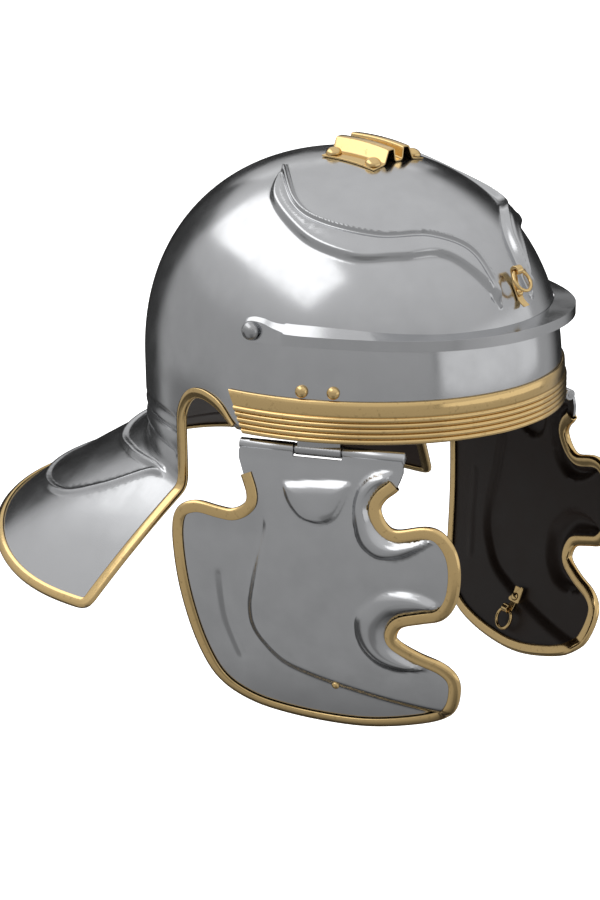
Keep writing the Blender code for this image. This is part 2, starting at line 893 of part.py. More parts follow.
def cheek_blank():
    """The curved sheet that the cheek piece is cut from, as an open grid."""
    step_line = flat_line(CHEEK_STEP_LINE, 2)
    low_u, high_u = -0.27 * CHEEK_WIDTH, 0.81 * CHEEK_WIDTH
    high_v = 1.03 * CHEEK_DEPTH

    def place(column, row):
        u = share(column / CHEEK_CELLS, low_u, high_u)
        v = share(row / CHEEK_CELLS, -0.03 * CHEEK_DEPTH, high_v)
        return cheek_place(u, v, cheek_face(u, v, step_line))

    bm = grid_mesh(CHEEK_CELLS, CHEEK_CELLS, place)
    bmesh.ops.recalc_face_normals(bm, faces=bm.faces)
    bm.normal_update()
    out = hinge_frame()[2]
    if sum(face.normal.dot(out) for face in bm.faces) < 0:
        bmesh.ops.reverse_faces(bm, faces=bm.faces)
    bmesh.ops.triangulate(bm, faces=bm.faces)
    return bm


def prism(outline, low, high, name):
    """A cutter with a flat outline in the cheek piece's frame, between two depths."""
    bottom = [cheek_place(u, v, low) for u, v in outline]
    top = [cheek_place(u, v, high) for u, v in outline]
    return skin((bottom, top), name)


def hinge_rod(low_u, high_u, radius, name):
    """A round bar along the hinge line."""
    along = hinge_frame()[0]
    profile = ((0, 0), (radius, 0), (radius, high_u - low_u), (0, high_u - low_u))
    return turned(profile, 10, name, frame_along(cheek_place(low_u, 0, 0), along))


def bore_for_pin(made):
    """Clear the pin's bore through a hinge half's knuckles."""
    length = (HINGE_FRONT - HINGE_BACK).length
    rod = hinge_rod(-length * 0.1, length * 1.1, PIN_RADIUS + GAP, made.name + "_bore")
    cut(made, add_cutter(rod, made.name + "_bore"))


def join_to(made, mesh, name):
    part = add_cutter(mesh, name)
    cut(made, part, "UNION")


def build_cheek_plate():
    hinge_length = (HINGE_FRONT - HINGE_BACK).length
    first, second = (share(part, 0, hinge_length) for part in KNUCKLE_SPLITS)
    shoulder = KNUCKLE_RADIUS + GAP * 2
    lap = KNUCKLE_RADIUS * 0.3
    inset = GAP * 2
    edge = flat_line(CHEEK_OUTLINE, 1)
    outline = [(p.x, p.y) for p in edge]
    outline += [
        (hinge_length - inset, outline[-1][1] * 0.75),
        (hinge_length - inset, lap),
        (second + inset, lap),
        (second + inset, shoulder),
        (first - inset, shoulder),
        (first - inset, lap),
        (inset, lap),
        (inset, outline[0][1] * 0.8),
    ]
    made = add_object("cheek_plate_right", mesh_from(cheek_blank(), "cheek_plate_right"), STEEL)
    thicken(made, SHEET)
    cut(made, add_cutter(prism(outline, -0.05, 0.05, "cheek_shape"), "cheek_shape"), "INTERSECT")
    apply_modifiers(made)
    join_to(made, hinge_rod(GAP, first - GAP, KNUCKLE_RADIUS, "knuckle_back"), "knuckle_back")
    join_to(made, hinge_rod(second + GAP, hinge_length - GAP, KNUCKLE_RADIUS, "knuckle_front"), "knuckle_front")
    bore_for_pin(made)
    apply_modifiers(made)
    return made


def build_cheek_trim():
    """The brass channel over the cheek piece's edge, seated on its faceted sheet."""
    blank = cheek_blank()
    tree = BVHTree.FromBMesh(blank)
    blank.free()
    out = hinge_frame()[2]
    edge = flat_line(CHEEK_OUTLINE, 1)[1:-1]

    def seat(u, v):
        hit = tree.ray_cast(cheek_place(u, v, 0.1), -out)
        return hit[0]

    points = []
    inward = []
    normals = []
    for index, point in enumerate(edge):
        before = edge[max(index - 1, 0)]
        after = edge[min(index + 1, len(edge) - 1)]
        along = (after - before).normalized()
        into = Vector((along.y, -along.x, 0))
        inner = point + into * TRIM_FLANGE
        here = seat(point.x, point.y)
        toward = (seat(inner.x, inner.y) - here).normalized()
        travel = (seat(after.x, after.y) - seat(before.x, before.y)).normalized()
        normal = travel.cross(toward).normalized()
        if normal.dot(out) < 0:
            normal = -normal
        points.append(here)
        inward.append(toward)
        normals.append(normal)
    flanges = [TRIM_FLANGE] * len(points)
    mesh = skin(channel_sections(points, inward, normals, flanges, CHEEK_TRIM_GAP), "cheek_trim_right")
    return add_object("cheek_trim_right", mesh, BRASS)


# Hinge leaves, pins and rivets

def read_between(stations, value):
    """The stations on both sides of a value, and its share of the way between them."""
    for low, high in zip(stations, stations[1:]):
        if value <= high:
            return low, high, (value - low) / (high - low)
    return stations[-2], stations[-1], 1.0


def shell_point(angle, height, out=0.0):
    """A point off the bowl's front wall, read between the bowl's own columns and rows."""
    columns = [EAR_FRONT * i / FRONT_COLUMNS for i in range(FRONT_COLUMNS + 1)]
    top = dome_point(0, math.radians(CLIMBS[-1])).z
    rows = [share(part, top, rim_height(0)) for part in reversed(WALL_ROWS)] + [top]
    turn = math.copysign(1, angle)
    left, right, across = read_between(columns, abs(angle))
    low, high, up = read_between(rows, height)
    below = wall_point(turn * left, low, out).lerp(wall_point(turn * right, low, out), across)
    above = wall_point(turn * left, high, out).lerp(wall_point(turn * right, high, out), across)
    return below.lerp(above, up)


def bowl_angle(point):
    """The angle of a place in the bowl's oval, from the front."""
    return math.atan2(abs(point.x) / BOWL_WIDTH, -point.y / BOWL_LENGTH)


def build_hinge_leaf(drill_holes):
    """The bowl's half of the hinge: a plate on the inner face, rolled round the pin below the rim."""
    length = (HINGE_FRONT - HINGE_BACK).length
    first, second = (share(part, 0, length) for part in KNUCKLE_SPLITS)
    start = bowl_angle(cheek_place(second, 0, 0)) + math.radians(0.8)
    end = bowl_angle(cheek_place(first, 0, 0)) - math.radians(0.8)
    columns = [EAR_FRONT * i / FRONT_COLUMNS for i in range(FRONT_COLUMNS)]
    stations = [start] + [angle for angle in columns if start < angle < end] + [end]
    rows = [share(part, dome_point(0, math.radians(CLIMBS[-1])).z, rim_height(0)) for part in WALL_ROWS]
    outer = -SHEET - GAP
    inner = outer - LEAF_SHEET
    foot = HINGE_BACK.z + KNUCKLE_RADIUS * 0.35
    sections = []
    for angle in stations:
        low = shell_point(-angle, rim_height(0), 0) - Vector((0, 0, rim_height(0) - foot))
        level = (wall_point(-angle, 0, 1) - wall_point(-angle, 0))
        sections.append((
            low + level * outer,
            shell_point(-angle, rows[1], outer),
            shell_point(-angle, LEAF_TOP, outer),
            shell_point(-angle, LEAF_TOP, inner),
            shell_point(-angle, rows[1], inner),
            low + level * inner,
        ))
    made = add_object("hinge_leaf_right", skin(sections, "hinge_leaf_right"), STEEL)
    join_to(made, hinge_rod(first + GAP, second - GAP, KNUCKLE_RADIUS, "knuckle_leaf"), "knuckle_leaf")
    bore_for_pin(made)
    cut(made, drill_holes)
    apply_modifiers(made)
    return made


def build_hinge_pin():
    length = (HINGE_FRONT - HINGE_BACK).length
    return add_object("hinge_pin_right", hinge_rod(0, length, PIN_RADIUS, "hinge_pin_right"), STEEL)


def hinge_rivet_matrices(side):
    matrices = []
    for turn, height in HINGE_RIVETS:
        angle = side * math.radians(turn)
        step = math.radians(2)
        across = shell_point(angle + step, height) - shell_point(angle - step, height)
        up = shell_point(angle, height + 0.003) - shell_point(angle, height - 0.003)
        normal = across.cross(up).normalized()
        point = shell_point(angle, height)
        if normal.dot(Vector((point.x, point.y, 0))) < 0:
            normal = -normal
        matrices.append(frame_along(point, normal))
    return matrices


def brow_rivet_matrix(side):
    angle = side * BROW_RIVET_ANGLE
    face = BROW_SEAT
    height = BROW_LEVEL
    level = wall_point(angle, height, 1) - wall_point(angle, height)
    return frame_along(wall_point(angle, height, face), level)


# Crest box on the crown

def crest_face(x, y, rise=0.0):
    return Vector((x, y, crown_height(x, y) + GAP + CREST_SHEET + rise))


def crest_rivet_matrices():
    matrices = []
    for y in (-0.0290, -0.0032):
        for x in (-0.0164, 0.0164):
            matrices.append(frame_along(crest_face(x, y), crown_normal(x, y), Vector((0, 1, 0))))
    return matrices


def build_crest_box(drill_holes):
    """A sheet with two folded-up humps that leave a slot between them for the crest."""
    half = (
        (0.0024, 0),
        (0.0035, CREST_HEIGHT),
        (0.0086, CREST_HEIGHT),
        (0.0119, 0),
        (CREST_HALF_WIDTH, 0),
    )
    stations = [(-x, rise) for x, rise in reversed(half)] + list(half)
    rows = 4

    def place(column, row):
        x, rise = stations[column]
        return crest_face(x, share(row / rows, CREST_FRONT, CREST_BACK), rise)

    bm = grid_mesh(len(stations) - 1, rows, place)
    bmesh.ops.recalc_face_normals(bm, faces=bm.faces)
    bm.normal_update()
    if sum(face.normal.z for face in bm.faces) < 0:
        bmesh.ops.reverse_faces(bm, faces=bm.faces)
    made = add_object("crest_box", mesh_from(bm, "crest_box"), BRASS)
    thicken(made, CREST_SHEET)
    cut(made, drill_holes)
    return made


# Straps with a ring: the hook on the forehead and the ties in the cheek pieces

def strap_mesh(name, width, back, reach, base, lift, tail, matrix):
    """A strap along Y over a face at Z = base, curled at its end round a ring, with its tail bent out."""
    inner = RING_WIRE + 0.0008
    outer = inner + STRAP_SHEET
    lower = [(-back, base + tail), (-back * 0.45, base), (reach * 0.45, base)]
    upper = [(y, z + STRAP_SHEET) for y, z in lower]
    turns = [math.radians(turn) for turn in (-90, -45, 0, 45, 90, 135, 180)]
    around = [(reach + outer * math.cos(turn), lift + outer * math.sin(turn)) for turn in turns]
    within = [(reach + inner * math.cos(turn), lift + inner * math.sin(turn)) for turn in turns]
    outline = lower + around + list(reversed(within)) + list(reversed(upper))
    sections = []
    for x in (-width / 2, width / 2):
        sections.append([matrix @ Vector((x, y, z)) for y, z in outline])
    return skin(sections, name)


def ring_mesh(name, centre, axis):
    """A plain wire ring."""
    bm = bmesh.new()
    verts = []
    for step in range(5):
        turn = 2 * math.pi * step / 5
        verts.append(bm.verts.new((RING_RADIUS + RING_WIRE * math.cos(turn), 0, RING_WIRE * math.sin(turn))))
    edges = [bm.edges.new((verts[i], verts[(i + 1) % 5])) for i in range(5)]
    bmesh.ops.spin(bm, geom=verts + edges, cent=(0, 0, 0), axis=(0, 0, 1), angle=2 * math.pi,
                   steps=12, use_merge=True)
    bmesh.ops.remove_doubles(bm, verts=bm.verts, dist=1e-6)
    bmesh.ops.recalc_face_normals(bm, faces=bm.faces)
    bmesh.ops.transform(bm, matrix=frame_along(centre, axis), verts=bm.verts)
    return mesh_from(bm, name)


def hook_matrix():
    """On the bowl's outer face at the forehead: Y up along the face, Z out of it."""
    low = wall_point(0, HOOK_LEVEL - 0.004)
    high = wall_point(0, HOOK_LEVEL + 0.004)
    up = (high - low).normalized()
    out = Vector((-1, 0, 0)).cross(up).normalized()
    if out.y > 0:
        out = -out
    matrix = Matrix((up.cross(out), up, out)).transposed().to_4x4()
    matrix.translation = wall_point(0, HOOK_LEVEL) + Vector((HOOK_ASIDE, 0, 0))
    return matrix


def build_front_hook():
    matrix = hook_matrix()
    base = GAP * 1.5
    reach = 0.0108
    lift = 0.0044
    strap = strap_mesh("front_hook", HOOK_WIDTH, 0.0078, reach, base, lift, 0.0022, matrix)
    made = add_object("front_hook", strap, BRASS)
    hang = Vector((0, -math.cos(math.radians(12)), math.sin(math.radians(12))))
    turn = matrix.to_3x3()
    centre = matrix @ (Vector((0, reach, lift)) + hang * RING_RADIUS)
    ring = ring_mesh("hook_ring", centre, turn @ hang.cross(Vector((1, 0, 0))))
    add_object("hook_ring", ring, BRASS)
    top = matrix.copy()
    top.translation = matrix @ Vector((0, 0, base + STRAP_SHEET))
    stack = base + STRAP_SHEET + SHEET + GAP
    add_object("hook_rivet", rivet_mesh("hook_rivet", STRAP_RIVET_RADIUS, stack, top), BRASS)
    cut(made, drill([top], 0.012, "hook_drill_strap"))
    return made


def build_tie(plate):
    """The strap, ring and rivet inside the right cheek piece, seated on its sheet by casting rays."""
    u = TIE_ALONG_SHARE * CHEEK_WIDTH
    v = TIE_DOWN_SHARE * CHEEK_DEPTH
    out = hinge_frame()[2]
    bm = bmesh.new()
    bm.from_mesh(plate.data)
    tree = BVHTree.FromBMesh(bm)
    bm.free()

    def outside(at_u, at_v):
        return tree.ray_cast(cheek_place(at_u, at_v, 0.1), -out)[0]

    def within(at_u, at_v):
        return tree.ray_cast(cheek_place(at_u, at_v, -0.1), out)[0]

    ahead = outside(u + 0.004, v) - outside(u - 0.004, v)
    down = outside(u, v + 0.005) - outside(u, v - 0.005)
    face = ahead.cross(down).normalized()
    if face.dot(out) < 0:
        face = -face
    down = (down - face * down.dot(face)).normalized()
    inward = -face
    matrix = Matrix((down.cross(inward), down, inward)).transposed().to_4x4()
    matrix.translation = within(u, v)
    back = 0.0065
    reach = 0.0075
    highest = 0.0
    lowest = 0.0
    inverse = matrix.inverted()
    for i in range(-2, 3):
        for j in range(-3, 5):
            highest = max(highest, (inverse @ within(u + i * 0.0025, v + j * 0.0025)).z)
            if abs(i) <= 1 and abs(j) <= 1:
                lowest = min(lowest, (inverse @ outside(u + i * 0.0025, v + j * 0.0025)).z)
    base = highest + GAP * 1.2
    lift = base + STRAP_SHEET * 2 + RING_WIRE + 0.0008
    strap = strap_mesh("tie_plate_right", HOOK_WIDTH, back * 0.9, reach, base, lift, 0.0, matrix)
    made = add_object("tie_plate_right", strap, BRASS)
    across = TIE_WIDTH / 2
    corners = ((-across, -back), (across, -back), (across, back * 0.5), (-across, back * 0.5))
    sections = []
    for z in (base - 0.00005, base + STRAP_SHEET * 1.15):
        sections.append([matrix @ Vector((x, y, z)) for x, y in corners])
    join_to(made, skin(sections, "tie_tab"), "tie_tab")
    centre = matrix @ Vector((0, reach + RING_RADIUS, lift))
    add_object("tie_ring_right", ring_mesh("tie_ring_right", centre, inward), BRASS)
    seat = frame_along(matrix @ Vector((0, 0, lowest)), face)
    stack = base + STRAP_SHEET * 1.15 - lowest
    add_object("tie_rivet_right", rivet_mesh("tie_rivet_right", STRAP_RIVET_RADIUS, stack, seat), BRASS)
    holes = drill([seat], 0.016, "tie_drill")
    cut(made, holes)
    apply_modifiers(made)
    cut(plate, holes)
    apply_modifiers(plate)
    return made


def mirror_object(name):
    """The wearer's left piece from the right one."""
    made = bpy.data.objects[name + "_right"]
    mirrored = mirror_mesh(made.data, name + "_left")
    finish = STEEL if made.data.materials[0].name == STEEL[0] else BRASS
    return add_object(name + "_left", mirrored, finish)


def hang_on_hinge(side):
    """Parent a cheek piece and what it carries to an empty on its hinge line."""
    empty = bpy.data.objects.new("hinge_axis_" + side, None)
    bpy.data.collections["legionary_helmet"].objects.link(empty)
    along = hinge_frame()[0]
    middle = (HINGE_BACK + HINGE_FRONT) / 2
    if side == "left":
        middle.x = -middle.x
        along.x = -along.x
    empty.matrix_world = frame_along(middle, along)
    for name in ("cheek_plate", "cheek_trim", "tie_plate", "tie_ring", "tie_rivet"):
        carried = bpy.data.objects["%s_%s" % (name, side)]
        carried.parent = empty
        carried.matrix_parent_inverse = empty.matrix_world.inverted()


def main():
    clear_scene()
    collection("legionary_helmet")
    collection("cutters")
    hinge_right = hinge_rivet_matrices(-1)
    hinge_left = hinge_rivet_matrices(1)
    brow = [brow_rivet_matrix(-1), brow_rivet_matrix(1)]
    crest = crest_rivet_matrices()
    right_holes = drill(hinge_right, 0.012, "hinge_drill_right")
    left_holes = drill(hinge_left, 0.012, "hinge_drill_left")
    brow_holes = drill(brow, 0.014, "brow_drill")
    crest_holes = drill(crest, 0.012, "crest_drill")
    hook_holes = drill([hook_matrix()], 0.012, "hook_drill")
    build_bowl([right_holes, left_holes, brow_holes, crest_holes, hook_holes])
    build_ear_neck_trim()
    build_brow_band()
    build_brow_guard([brow_holes])
    build_crest_box(crest_holes)
    build_front_hook()
    build_hinge_leaf(right_holes)
    build_hinge_pin()
    build_cheek_trim()
    build_tie(build_cheek_plate())
    for name, matrix in zip(("brow_rivet_right", "brow_rivet_left"), brow):
        stack = BROW_SEAT + SHEET + 0.0008
        add_object(name, rivet_mesh(name, BROW_RIVET_RADIUS, stack, matrix), STEEL)
    for index, matrix in enumerate(crest):
        name = "crest_rivet_%d" % (index + 1)
        stack = CREST_SHEET + GAP * 2 + SHEET
        add_object(name, rivet_mesh(name, CREST_RIVET_RADIUS, stack, matrix), BRASS)
    for side, matrices in (("right", hinge_right), ("left", hinge_left)):
        for place, matrix in zip(("front", "back"), matrices):
            name = "hinge_rivet_%s_%s" % (place, side)
            stack = SHEET + GAP + LEAF_SHEET
            add_object(name, rivet_mesh(name, HINGE_RIVET_RADIUS, stack, matrix), BRASS)
    for name in MIRRORED:
        mirror_object(name)
    for side in ("right", "left"):
        hang_on_hinge(side)


main()
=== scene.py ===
"""A Roman legionary helmet of polished steel with brass fittings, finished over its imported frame.

Metres, +Z up. The wearer faces -Y and the wearer's left is +X. The origin is in the hollow of the
bowl, on the level of the rim. Angles round the bowl count from the front, in the oval of its rim.
"""
import math

import bmesh
import bpy
from bpy.props import FloatProperty, FloatVectorProperty, IntProperty, PointerProperty
from bpy.types import Operator, Panel, PropertyGroup
from mathutils import Matrix, Vector
from mathutils.bvhtree import BVHTree
from mathutils.kdtree import KDTree


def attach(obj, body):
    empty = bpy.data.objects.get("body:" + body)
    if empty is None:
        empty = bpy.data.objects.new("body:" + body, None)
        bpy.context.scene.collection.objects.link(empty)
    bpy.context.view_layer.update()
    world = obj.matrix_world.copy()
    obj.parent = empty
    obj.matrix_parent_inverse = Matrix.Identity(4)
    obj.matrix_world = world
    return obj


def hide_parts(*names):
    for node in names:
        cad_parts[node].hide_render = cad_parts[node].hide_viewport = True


bl_info = {
    "name": "Roman Legionary Helmet",
    "version": (1, 0, 0),
    "blender": (4, 5, 0),
    "location": "View3D > Sidebar > Helmet",
    "description": "Makes a polished steel legionary helmet with brass fittings, piece by piece",
    "category": "Add Mesh",
}

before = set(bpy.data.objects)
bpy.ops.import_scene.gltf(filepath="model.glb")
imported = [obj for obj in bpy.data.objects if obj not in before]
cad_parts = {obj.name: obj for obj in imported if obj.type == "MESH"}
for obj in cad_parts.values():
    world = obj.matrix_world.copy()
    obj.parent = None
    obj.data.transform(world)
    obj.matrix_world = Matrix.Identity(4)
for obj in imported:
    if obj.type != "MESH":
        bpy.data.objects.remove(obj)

# Bowl: the outer face of the sheet, above the level of the rim
BOWL_LENGTH = 0.2336
BOWL_WIDTH = 0.2024
CROWN_HEIGHT = 0.128
WALL_HEIGHT = 0.0158
DOME_POWER = 2.16
SHEET = 0.0015
GAP = 0.0003

# Ear arches, nape and neck guard
EAR_FRONT = math.radians(86)
EAR_BACK = math.radians(106.5)
EAR_HEIGHT = 0.0138
NAPE_DEPTH = 0.038
GUARD_HALF_WIDTH = 0.147
GUARD_LENGTH = 0.131
GUARD_START = 0.0588
GUARD_SQUARENESS = 2.66
GUARD_BACK_DROP = 0.0705
GUARD_CORNER_DROP = 0.0965
GUARD_CROWN = 0.0016

# Brass over the edges, and the brow band
TRIM_GAP = 0.00045
TRIM_EDGE_GAP = 0.0010
TRIM_CROWN = 0.0004
CHEEK_TRIM_GAP = 0.0006
CHEEK_TRIM_CROWN = 0.0002
BAND_HEIGHT = 0.0216
BAND_SHEET = 0.0012
BAND_END = math.radians(83.4)
BAND_SLANT = math.radians(4.6)
BAND_PLAIN_SHARE = 0.36

# Brow guard
BROW_SHEET = 0.0014
BROW_LEVEL = 0.0530
BROW_REACH = 0.0130
BROW_LIP = 0.0054
BROW_RIVET_ANGLE = math.radians(81.6)
BROW_SEAT = 0.0030

# Cheek pieces: the hinge line from the back to the front, on the wearer's right side
HINGE_BACK = Vector((-0.1011, -0.0105, -0.0056))
HINGE_FRONT = Vector((-0.0716, -0.0930, -0.0056))
KNUCKLE_RADIUS = 0.0031
PIN_RADIUS = 0.0015
KNUCKLE_SPLITS = (0.338, 0.626)
CHEEK_DEPTH = 0.153
CHEEK_WIDTH = 0.153
CHEEK_BULGE = 0.013
CHEEK_LEAN = 0.0155
CHEEK_STEP = 0.0024

# Fastenings
HINGE_RIVETS = ((59.2, 0.0256), (67.4, 0.0254))
LEAF_SHEET = 0.0012
LEAF_TOP = 0.030
SHANK_RADIUS = 0.0014
RIVET_TAIL = 0.0010
CREST_HALF_WIDTH = 0.0206
CREST_FRONT = -0.033
CREST_BACK = 0.0015
CREST_HEIGHT = 0.0066
CREST_SHEET = 0.0009
HOOK_WIDTH = 0.0045
HOOK_LEVEL = 0.066
HOOK_ASIDE = 0.0015
STRAP_SHEET = 0.0009
TIE_WIDTH = 0.009
TIE_PLACE = (0.0483, 0.1262)
TIE_REACH = 0.0075
TIE_BACK = 0.0065

# Front hook: how far its strap reaches down to the ring and out to it, how far it goes back up, how
# far its tail stands off, how thick the gap under it is, and the lean of the ring that hangs in it
HOOK_REACH = 0.0108
HOOK_LIFT = 0.0044
HOOK_BACK = 0.0078
HOOK_TAIL = 0.0022
HOOK_BASE = GAP * 1.5
HOOK_RING_HANG = math.radians(12)
RING_RADIUS = 0.0058
RING_WIRE = 0.0009
RING_PLAY = 0.0008

# Finer sizes that only the finished pieces have: the edge that a file leaves, the full width of the
# guard's ridges, the height where the hinge leaf bends, and the steps from row to row of a table
FILED_EDGE = 0.0002
RIDGE_WIDTH = 0.0066
LEAF_BEND = 0.016
OUTLINE_STEPS = 6
RELIEF_STEPS = 8

# Across an eyebrow wing: how wide its lower step and its upper step are, and how far the groove and
# the bead lie from its upper edge
WING_STEP = 0.0036
WING_UPPER_STEP = 0.0026
WING_GROOVE = 0.0045
WING_BEAD = 0.0023

# Reliefs of the cheek piece: how wide the step's slope, the boss's shoulder and its crisp foot are,
# where a crescent is too narrow to stand out in full, and the crease's width and depth
STEP_SLOPE = 0.0042
BOSS_SHOULDER = 0.0085
BOSS_FOOT = 0.0014
CRESCENT_TIP = 0.0065
CREASE_WIDTH = 0.008
CREASE_DEPTH = 0.0006

# The crest holder's four rivets: how far to each side they sit, and where their two rows lie along Y
CREST_RIVET_SIDE = 0.0164
CREST_RIVET_ROWS = (-0.0290, -0.0032)

# Camera: where it stands, and the directions of its picture's right, its top and its view
CAMERA_LENS = 98.946
CAMERA_SENSOR = 36
CAMERA_PLACE = (-0.986797, -0.807598, 0.360061)
CAMERA_RIGHT = (0.646756, -0.762573, -0.013751)
CAMERA_UP = (0.234724, 0.181856, 0.954899)
CAMERA_AHEAD = (0.725680, 0.620814, -0.296611)

# Soft lights: the name of the light and of its power, turn from the front and rise in degrees,
# distance, width and height
LIGHTS = (
    ("window_light", "window_light", -132, 50.5, 1.25, 1.95, 0.68),
    ("front_card", "front_light", 22, 1.0, 3.0, 4.9, 1.4),
    ("back_panel", "back_light", 134, 27, 3.0, 1.9, 0.95),
)

# Brightness of the surround from straight below (0) over the horizon (0.5) to straight above (1)
SKY_STOPS = ((0.0, 0.10), (0.11, 0.40), (0.5, 0.46), (0.60, 0.47), (0.64, 0.62), (0.75, 0.70), (0.93, 0.80))

# Dim patches of the surround low in front of the wearer's right and low behind it, and a dark one
# behind the neck guard: turn from the front, the two cosines between which it fades across, the
# two heights between which it fades upwards, and its depth
SKY_PATCHES = (
    (-61.5, 0.86, 0.96, -0.36, -0.52, 0.4),
    (-156.0, 0.92, 0.985, -0.20, -0.34, 0.8),
    (160.0, 0.93, 0.985, 0.46, 0.36, 0.9),
)

# The ear arch from its front foot to its back foot: share of the way round, share of the height
ARCH = (
    (0.00, 0.07), (0.12, 0.34), (0.27, 0.70), (0.42, 0.90), (0.57, 1.00),
    (0.70, 0.97), (0.82, 0.78), (0.93, 0.42), (1.00, 0.08),
)

# Level lines of the nape: number, drop at the side and drop at the back, as shares of its depth.
# Every fourth line is a groove and the ones between are the crests of the ribs.
NAPE_LINES = (
    (0, 0.06, 0.02),
    (1, 0.12, 0.08),
    (2, 0.19, 0.15),
    (3, 0.25, 0.21),
    (4, 0.29, 0.26),
    (5, 0.34, 0.31),
    (6, 0.46, 0.38),
    (7, 0.58, 0.44),
    (8, 0.64, 0.49),
    (9, 0.78, 0.55),
    (10, 1.00, 0.63),
)

# The crescent on the guard: share of the way round to the side, then the way out
# to the inner ridge and to the outer ridge
CRESCENT = (
    (0.00, 0.20, 0.78),
    (0.25, 0.19, 0.76),
    (0.45, 0.17, 0.70),
    (0.60, 0.11, 0.56),
    (0.70, 0.07, 0.34),
    (0.80, 0.03, 0.09),
    (0.86, 0.02, 0.03),
)

# An eyebrow wing seen from above: its lower and upper edges from the forehead to the tip behind,
# each as (share of the half width, share of the half length towards the front)
WING = (
    ((0.140, 0.925), (0.115, 0.915)),
    ((0.235, 0.825), (0.105, 0.865)),
    ((0.335, 0.730), (0.145, 0.765)),
    ((0.500, 0.630), (0.290, 0.645)),
    ((0.655, 0.465), (0.480, 0.505)),
    ((0.705, 0.225), (0.580, 0.300)),
    ((0.585, -0.030), (0.550, 0.115)),
    ((0.325, -0.140), (0.320, -0.120)),
)

# Brow guard from the middle to its end: share of the way to the rivet, reach, lift of the inner
# edge above the ridge in lip heights, lip as a share, and lift of the ridge in lip heights
BROW_SECTIONS = (
    (0.00, 1.00, -0.05, 1.00, 0.00),
    (0.10, 1.00, -0.05, 1.00, 0.00),
    (0.22, 0.97, 0.00, 1.00, 0.00),
    (0.34, 0.87, 0.06, 1.00, 0.00),
    (0.45, 0.68, 0.22, 1.00, 0.00),
    (0.57, 0.44, 0.45, 1.00, 0.00),
    (0.70, 0.24, 0.75, 1.00, 0.00),
    (0.82, 0.19, 0.88, 1.00, 0.00),
    (0.885, 0.19, 0.86, 1.06, 0.06),
    (0.893, 0.13, 0.66, 1.20, 0.16),
    (0.93, 0.12, 0.46, 1.50, 0.48),
    (0.965, 0.12, 0.36, 1.80, 0.84),
    (1.00, 0.12, 0.32, 1.95, 0.95),
    (1.025, 0.12, 0.28, 1.66, 0.80),
    (1.037, 0.12, 0.20, 1.20, 0.58),
    (1.042, 0.12, 0.12, 0.70, 0.34),
)

# The cheek piece's edge, the wearer's right one seen from outside, as shares of its width towards
# the front and of its depth downwards, both from the back end of the hinge
CHEEK_OUTLINE = (
    (0.002, 0.040), (0.022, 0.095), (0.044, 0.155), (0.038, 0.195), (-0.010, 0.225),
    (-0.065, 0.222), (-0.140, 0.210), (-0.200, 0.232), (-0.226, 0.290), (-0.224, 0.400),
    (-0.206, 0.550), (-0.166, 0.735), (-0.110, 0.865), (-0.010, 0.940), (0.120, 0.975),
    (0.280, 0.990), (0.420, 0.985), (0.560, 0.955), (0.670, 0.915), (0.725, 0.865),
    (0.748, 0.790), (0.742, 0.735), (0.700, 0.695), (0.620, 0.665), (0.552, 0.628),
    (0.542, 0.598), (0.568, 0.558), (0.640, 0.535), (0.710, 0.512), (0.752, 0.450),
    (0.765, 0.360), (0.752, 0.285), (0.710, 0.230), (0.655, 0.216), (0.560, 0.236),
    (0.515, 0.215), (0.492, 0.165), (0.512, 0.125), (0.552, 0.090), (0.572, 0.040),
)

# The step of the raised middle of the cheek piece, from the top to the lower front corner
CHEEK_STEP_LINE = (
    (0.105, 0.180), (0.112, 0.270), (0.088, 0.370), (0.062, 0.480), (0.048, 0.560),
    (0.055, 0.630), (0.090, 0.690), (0.150, 0.750), (0.250, 0.790), (0.360, 0.820),
    (0.500, 0.850), (0.640, 0.870), (0.760, 0.875),
)

# Reliefs of the cheek piece in metres from the back end of the hinge, forwards and down: the boss
# under the hinge, the inner lines of the two crescents, and the crease behind the raised middle
CHEEK_BOSS = (
    (0.0247, 0.0165), (0.0420, 0.0142), (0.0596, 0.0136), (0.0598, 0.0180), (0.0580, 0.0238),
    (0.0530, 0.0322), (0.0447, 0.0360), (0.0345, 0.0340), (0.0278, 0.0270), (0.0249, 0.0200),
)
UPPER_CRESCENT = (
    (0.0859, 0.0051), (0.0722, 0.0081), (0.0649, 0.0151), (0.0623, 0.0267), (0.0646, 0.0413),
    (0.0708, 0.0486), (0.0786, 0.0510), (0.0884, 0.0489), (0.0971, 0.0439), (0.1022, 0.0403),
)
LOWER_CRESCENT = (
    (0.1080, 0.0717), (0.0979, 0.0673), (0.0881, 0.0662), (0.0782, 0.0684), (0.0701, 0.0749),
    (0.0633, 0.0831), (0.0625, 0.0932), (0.0658, 0.1026), (0.0730, 0.1097), (0.0828, 0.1122),
    (0.0951, 0.1105), (0.1050, 0.1080),
)
CHEEK_CREASE = (
    (-0.0097, 0.0695), (-0.0084, 0.0916), (-0.0053, 0.1055), (-0.0024, 0.1154),
)


def light_from(code):
    """A sRGB hex colour as linear light."""
    parts = []
    for start in (1, 3, 5):
        value = int(code[start:start + 2], 16) / 255
        parts.append(value / 12.92 if value <= 0.04045 else ((value + 0.055) / 1.055) ** 2.4)
    return tuple(parts)


# What a user would change

